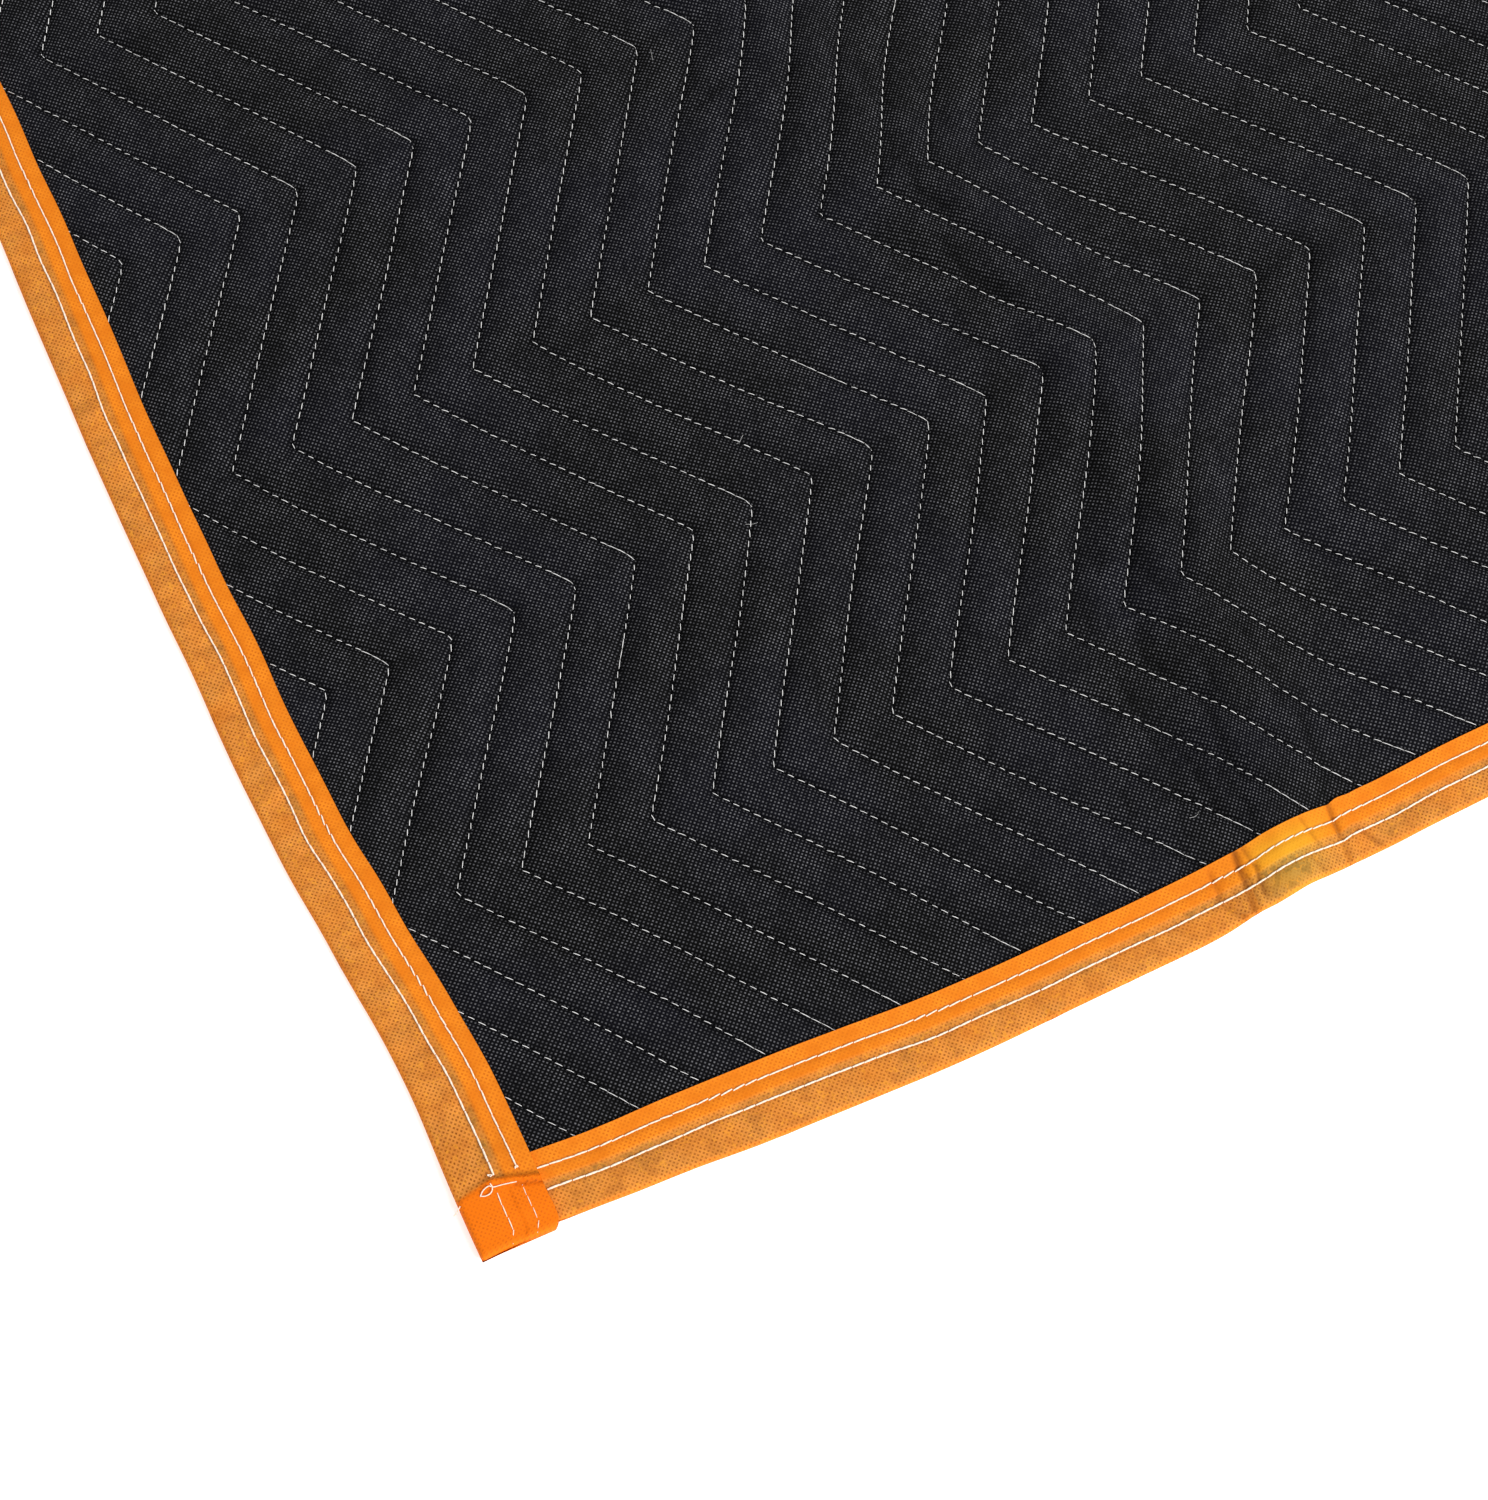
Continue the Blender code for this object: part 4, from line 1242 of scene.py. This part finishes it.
for side in bindings:
    for row, thread, lift, order in zip(SEWN_ROWS, BINDING_THREADS, ROW_LIFTS, ("inner", "outer")):
        starts, ends = binding_row(side, row, lift)
        thick = thread * np.random.default_rng(82).uniform(0.92, 1.08, len(starts))
        line = (starts, ends, thick, ROW_ARCH, spindle(6, 4, 0.25))
        stitches.append(stitch_mesh(f"sewing_{side}_{order}", *line, binding_thread_material))
for side in SIDES:
    for row, thread, length, order in zip(TAB_ROWS, TAB_THREADS, TAB_STITCH_LENGTHS, ("inner", "outer")):
        line = (*tab_row(side, row, length), thread, TAB_ARCH, spindle(5, 3))
        stitches.append(stitch_mesh(f"sewing_{side}_tabs_{order}", *line, binding_thread_material))

# %% [markdown]
# The machine leaves loose ends. Where the rows stop at the tab's ridge there is a small knot and a loop of
# thread, and a cut tail stands out from the edge. A few pale fibres have settled on the black. All are thin
# round tubes along short paths, which are listed for the thread and drawn at random for the fibres.

# %% Thread ends and lint
def tube(path, radius, sides=5):
    """Points and faces of a closed round tube along a smooth curve through the path's points."""
    path = np.array(path, float)
    spots = np.linspace(0, len(path) - 1, 4 * len(path))
    step = np.clip(spots.astype(int), 0, len(path) - 2)
    share = (spots - step)[:, None]
    padded = np.concatenate([2 * path[:1] - path[1:2], path, 2 * path[-1:] - path[-2:-1]])
    p0, p1, p2, p3 = (padded[step + k] for k in range(4))
    curve = 0.5 * (2 * p1 + (p2 - p0) * share + (2 * p0 - 5 * p1 + 4 * p2 - p3) * share**2)
    curve = curve + 0.5 * (3 * p1 - p0 - 3 * p2 + p3) * share**3
    along = np.gradient(curve, axis=0)
    along /= np.linalg.norm(along, axis=1, keepdims=True)
    across = np.cross(along, [0.3, 0.2, 1])
    across /= np.linalg.norm(across, axis=1, keepdims=True)
    up = np.cross(along, across)
    angles = math.tau * np.arange(sides) / sides
    ring = across[:, None] * np.cos(angles)[None, :, None] + up[:, None] * np.sin(angles)[None, :, None]
    points = (curve[:, None] + radius * ring).reshape(-1, 3)
    faces = grid_faces(len(curve), sides, wrap=True).tolist()
    faces.append(list(range(sides))[::-1])
    faces.append([i + (len(curve) - 1) * sides for i in range(sides)])
    return points, faces


def tubes_mesh(name, paths, radius, material):
    points, faces, count = [], [], 0
    for path in paths:
        more, more_faces = tube(path, radius)
        faces += [[i + count for i in face] for face in more_faces]
        points.append(more)
        count += len(more)
    points = np.concatenate(points)
    return add_mesh(name, points, faces, points[:, :2], material, 80)


def over_tab(along, inset, above):
    """A place a little above the left binding, given in mm."""
    along, inset = np.array(along * MM), np.array(inset * MM)
    return settle(*on_pad("left", along, inset), binding_top("left", along, inset) + above * MM)


THREAD_ENDS = [  # paths over the near left tab: along and in from the edge, and above the cloth, in mm
    [
        (20.3, 8.5, 0.2), (21.6, 10.2, 0.8), (22.2, 12.6, 0.8), (21.4, 13.9, 0.4), (20.9, 17.5, 0.5),
        (20.1, 22.2, 0.3),
    ],
    [(20.3, 8.5, 0.2), (19.6, 10.4, 0.6), (19.9, 12.4, 0.6), (21.3, 13.6, 0.7), (22.8, 13.4, 0.3)],
    [(20.2, 0.6, 0.4), (19.6, -0.8, -0.4), (18.9, -2.6, -1.4)],
    [(25.2, 14.6, 0.3), (25.9, 13.8, 0.7), (25.4, 15.4, 0.5), (25.0, 14.4, 0.9)],
    [(24.4, 23.6, 0.3), (25.2, 24.3, 0.7), (24.6, 24.8, 0.5), (24.8, 23.6, 0.9)],
]
THREAD_END_RADIUS = 0.22 * MM
LINT = [(272, 426), (224, 258), (308, 46)]  # in mm from the left and front edges; the rest are at random
MORE_LINT = 24
LINT_STEP = 1.6 * MM
LINT_RADIUS = 0.04 * MM

ends_paths = [[over_tab(*spot) for spot in path] for path in THREAD_ENDS]
stitches.append(tubes_mesh("thread_ends", ends_paths, THREAD_END_RADIUS, binding_thread_material))


def lint_paths():
    draw = np.random.default_rng(101)
    spots = [(x * MM, y * MM) for x, y in LINT]
    for _ in range(MORE_LINT):
        spots.append((draw.uniform(0.05, WIDTH - 0.05), draw.uniform(0.05, LENGTH - 0.05)))
    paths = []
    for x, y in spots:
        angle = draw.uniform(0, math.tau)
        curl = draw.uniform(-0.5, 0.5)
        path = []
        for step in range(4):
            x, y = np.array(x + LINT_STEP * math.cos(angle)), np.array(y + LINT_STEP * math.sin(angle))
            angle += curl
            height = cover_top(x, y) + draw.uniform(0.15, 0.5) * MM
            path.append(settle(*slipped(x, y), height))
        paths.append(path)
    return paths


stitches.append(tubes_mesh("lint", lint_paths(), LINT_RADIUS, quilting_material))

# %% [markdown]
# The set is a pale table, which glows a little so that thin edges cast no grey line on it, under soft studio
# light. A large light from the right and in front rakes over the quilting, so each puff has a bright flank
# and a dim one, and an even pale sky fills the shadows, as a white tent does.

# %% Floor and light
FLOOR_SIZE = 60
FLOOR_GAP = 0.2 * MM
TENT_STRENGTH = 0.55


def place_floor():
    data = bpy.data.meshes.new("floor")
    corners = [(x * FLOOR_SIZE / 2, y * FLOOR_SIZE / 2, 0) for x, y in ((-1, -1), (1, -1), (1, 1), (-1, 1))]
    data.from_pydata(corners, [], [(0, 1, 2, 3)])
    material, _, shader = new_material("matt_white_acrylic")
    fill_sockets(shader, {"Base Color": linear("#fbfbfb"), "Roughness": 0.95})
    fill_sockets(shader, {"Emission Color": linear("#ffffff"), "Emission Strength": 0.5})
    data.materials.append(material)
    floor = bpy.data.objects.new("floor", data)
    floor.location.z = -FLOOR_GAP
    bpy.context.scene.collection.objects.link(floor)


def place_light(name, place, size, power, aim):
    data = bpy.data.lights.new(name, "AREA")
    data.shape = "SQUARE"
    data.size = size
    data.energy = power
    light = bpy.data.objects.new(name, data)
    light.location = place
    light.rotation_euler = (Vector(aim) - light.location).to_track_quat("-Z", "Y").to_euler()
    bpy.context.scene.collection.objects.link(light)


place_floor()
place_light("softbox", place=(1.45, -4.6, 4.0), size=2.8, power=370, aim=(-0.45, -0.6, 0))
world = bpy.data.worlds.new("white_tent")
world.use_nodes = True
sky = {"Color": linear("#ffffff"), "Strength": TENT_STRENGTH}
fill_sockets(world.node_tree.nodes["Background"], sky)
bpy.context.scene.world = world
bpy.context.scene.view_settings.view_transform = "Standard"
print(f"the softbox gives {bpy.data.lights['softbox'].energy:.0f} W")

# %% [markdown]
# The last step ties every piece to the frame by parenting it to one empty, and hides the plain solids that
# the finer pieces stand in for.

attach(cover, "root")
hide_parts("pad")
for side, strip in bindings.items():
    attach(strip, "root")
    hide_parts(f"binding_{side}")
for piece in stitches:
    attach(piece, "root")
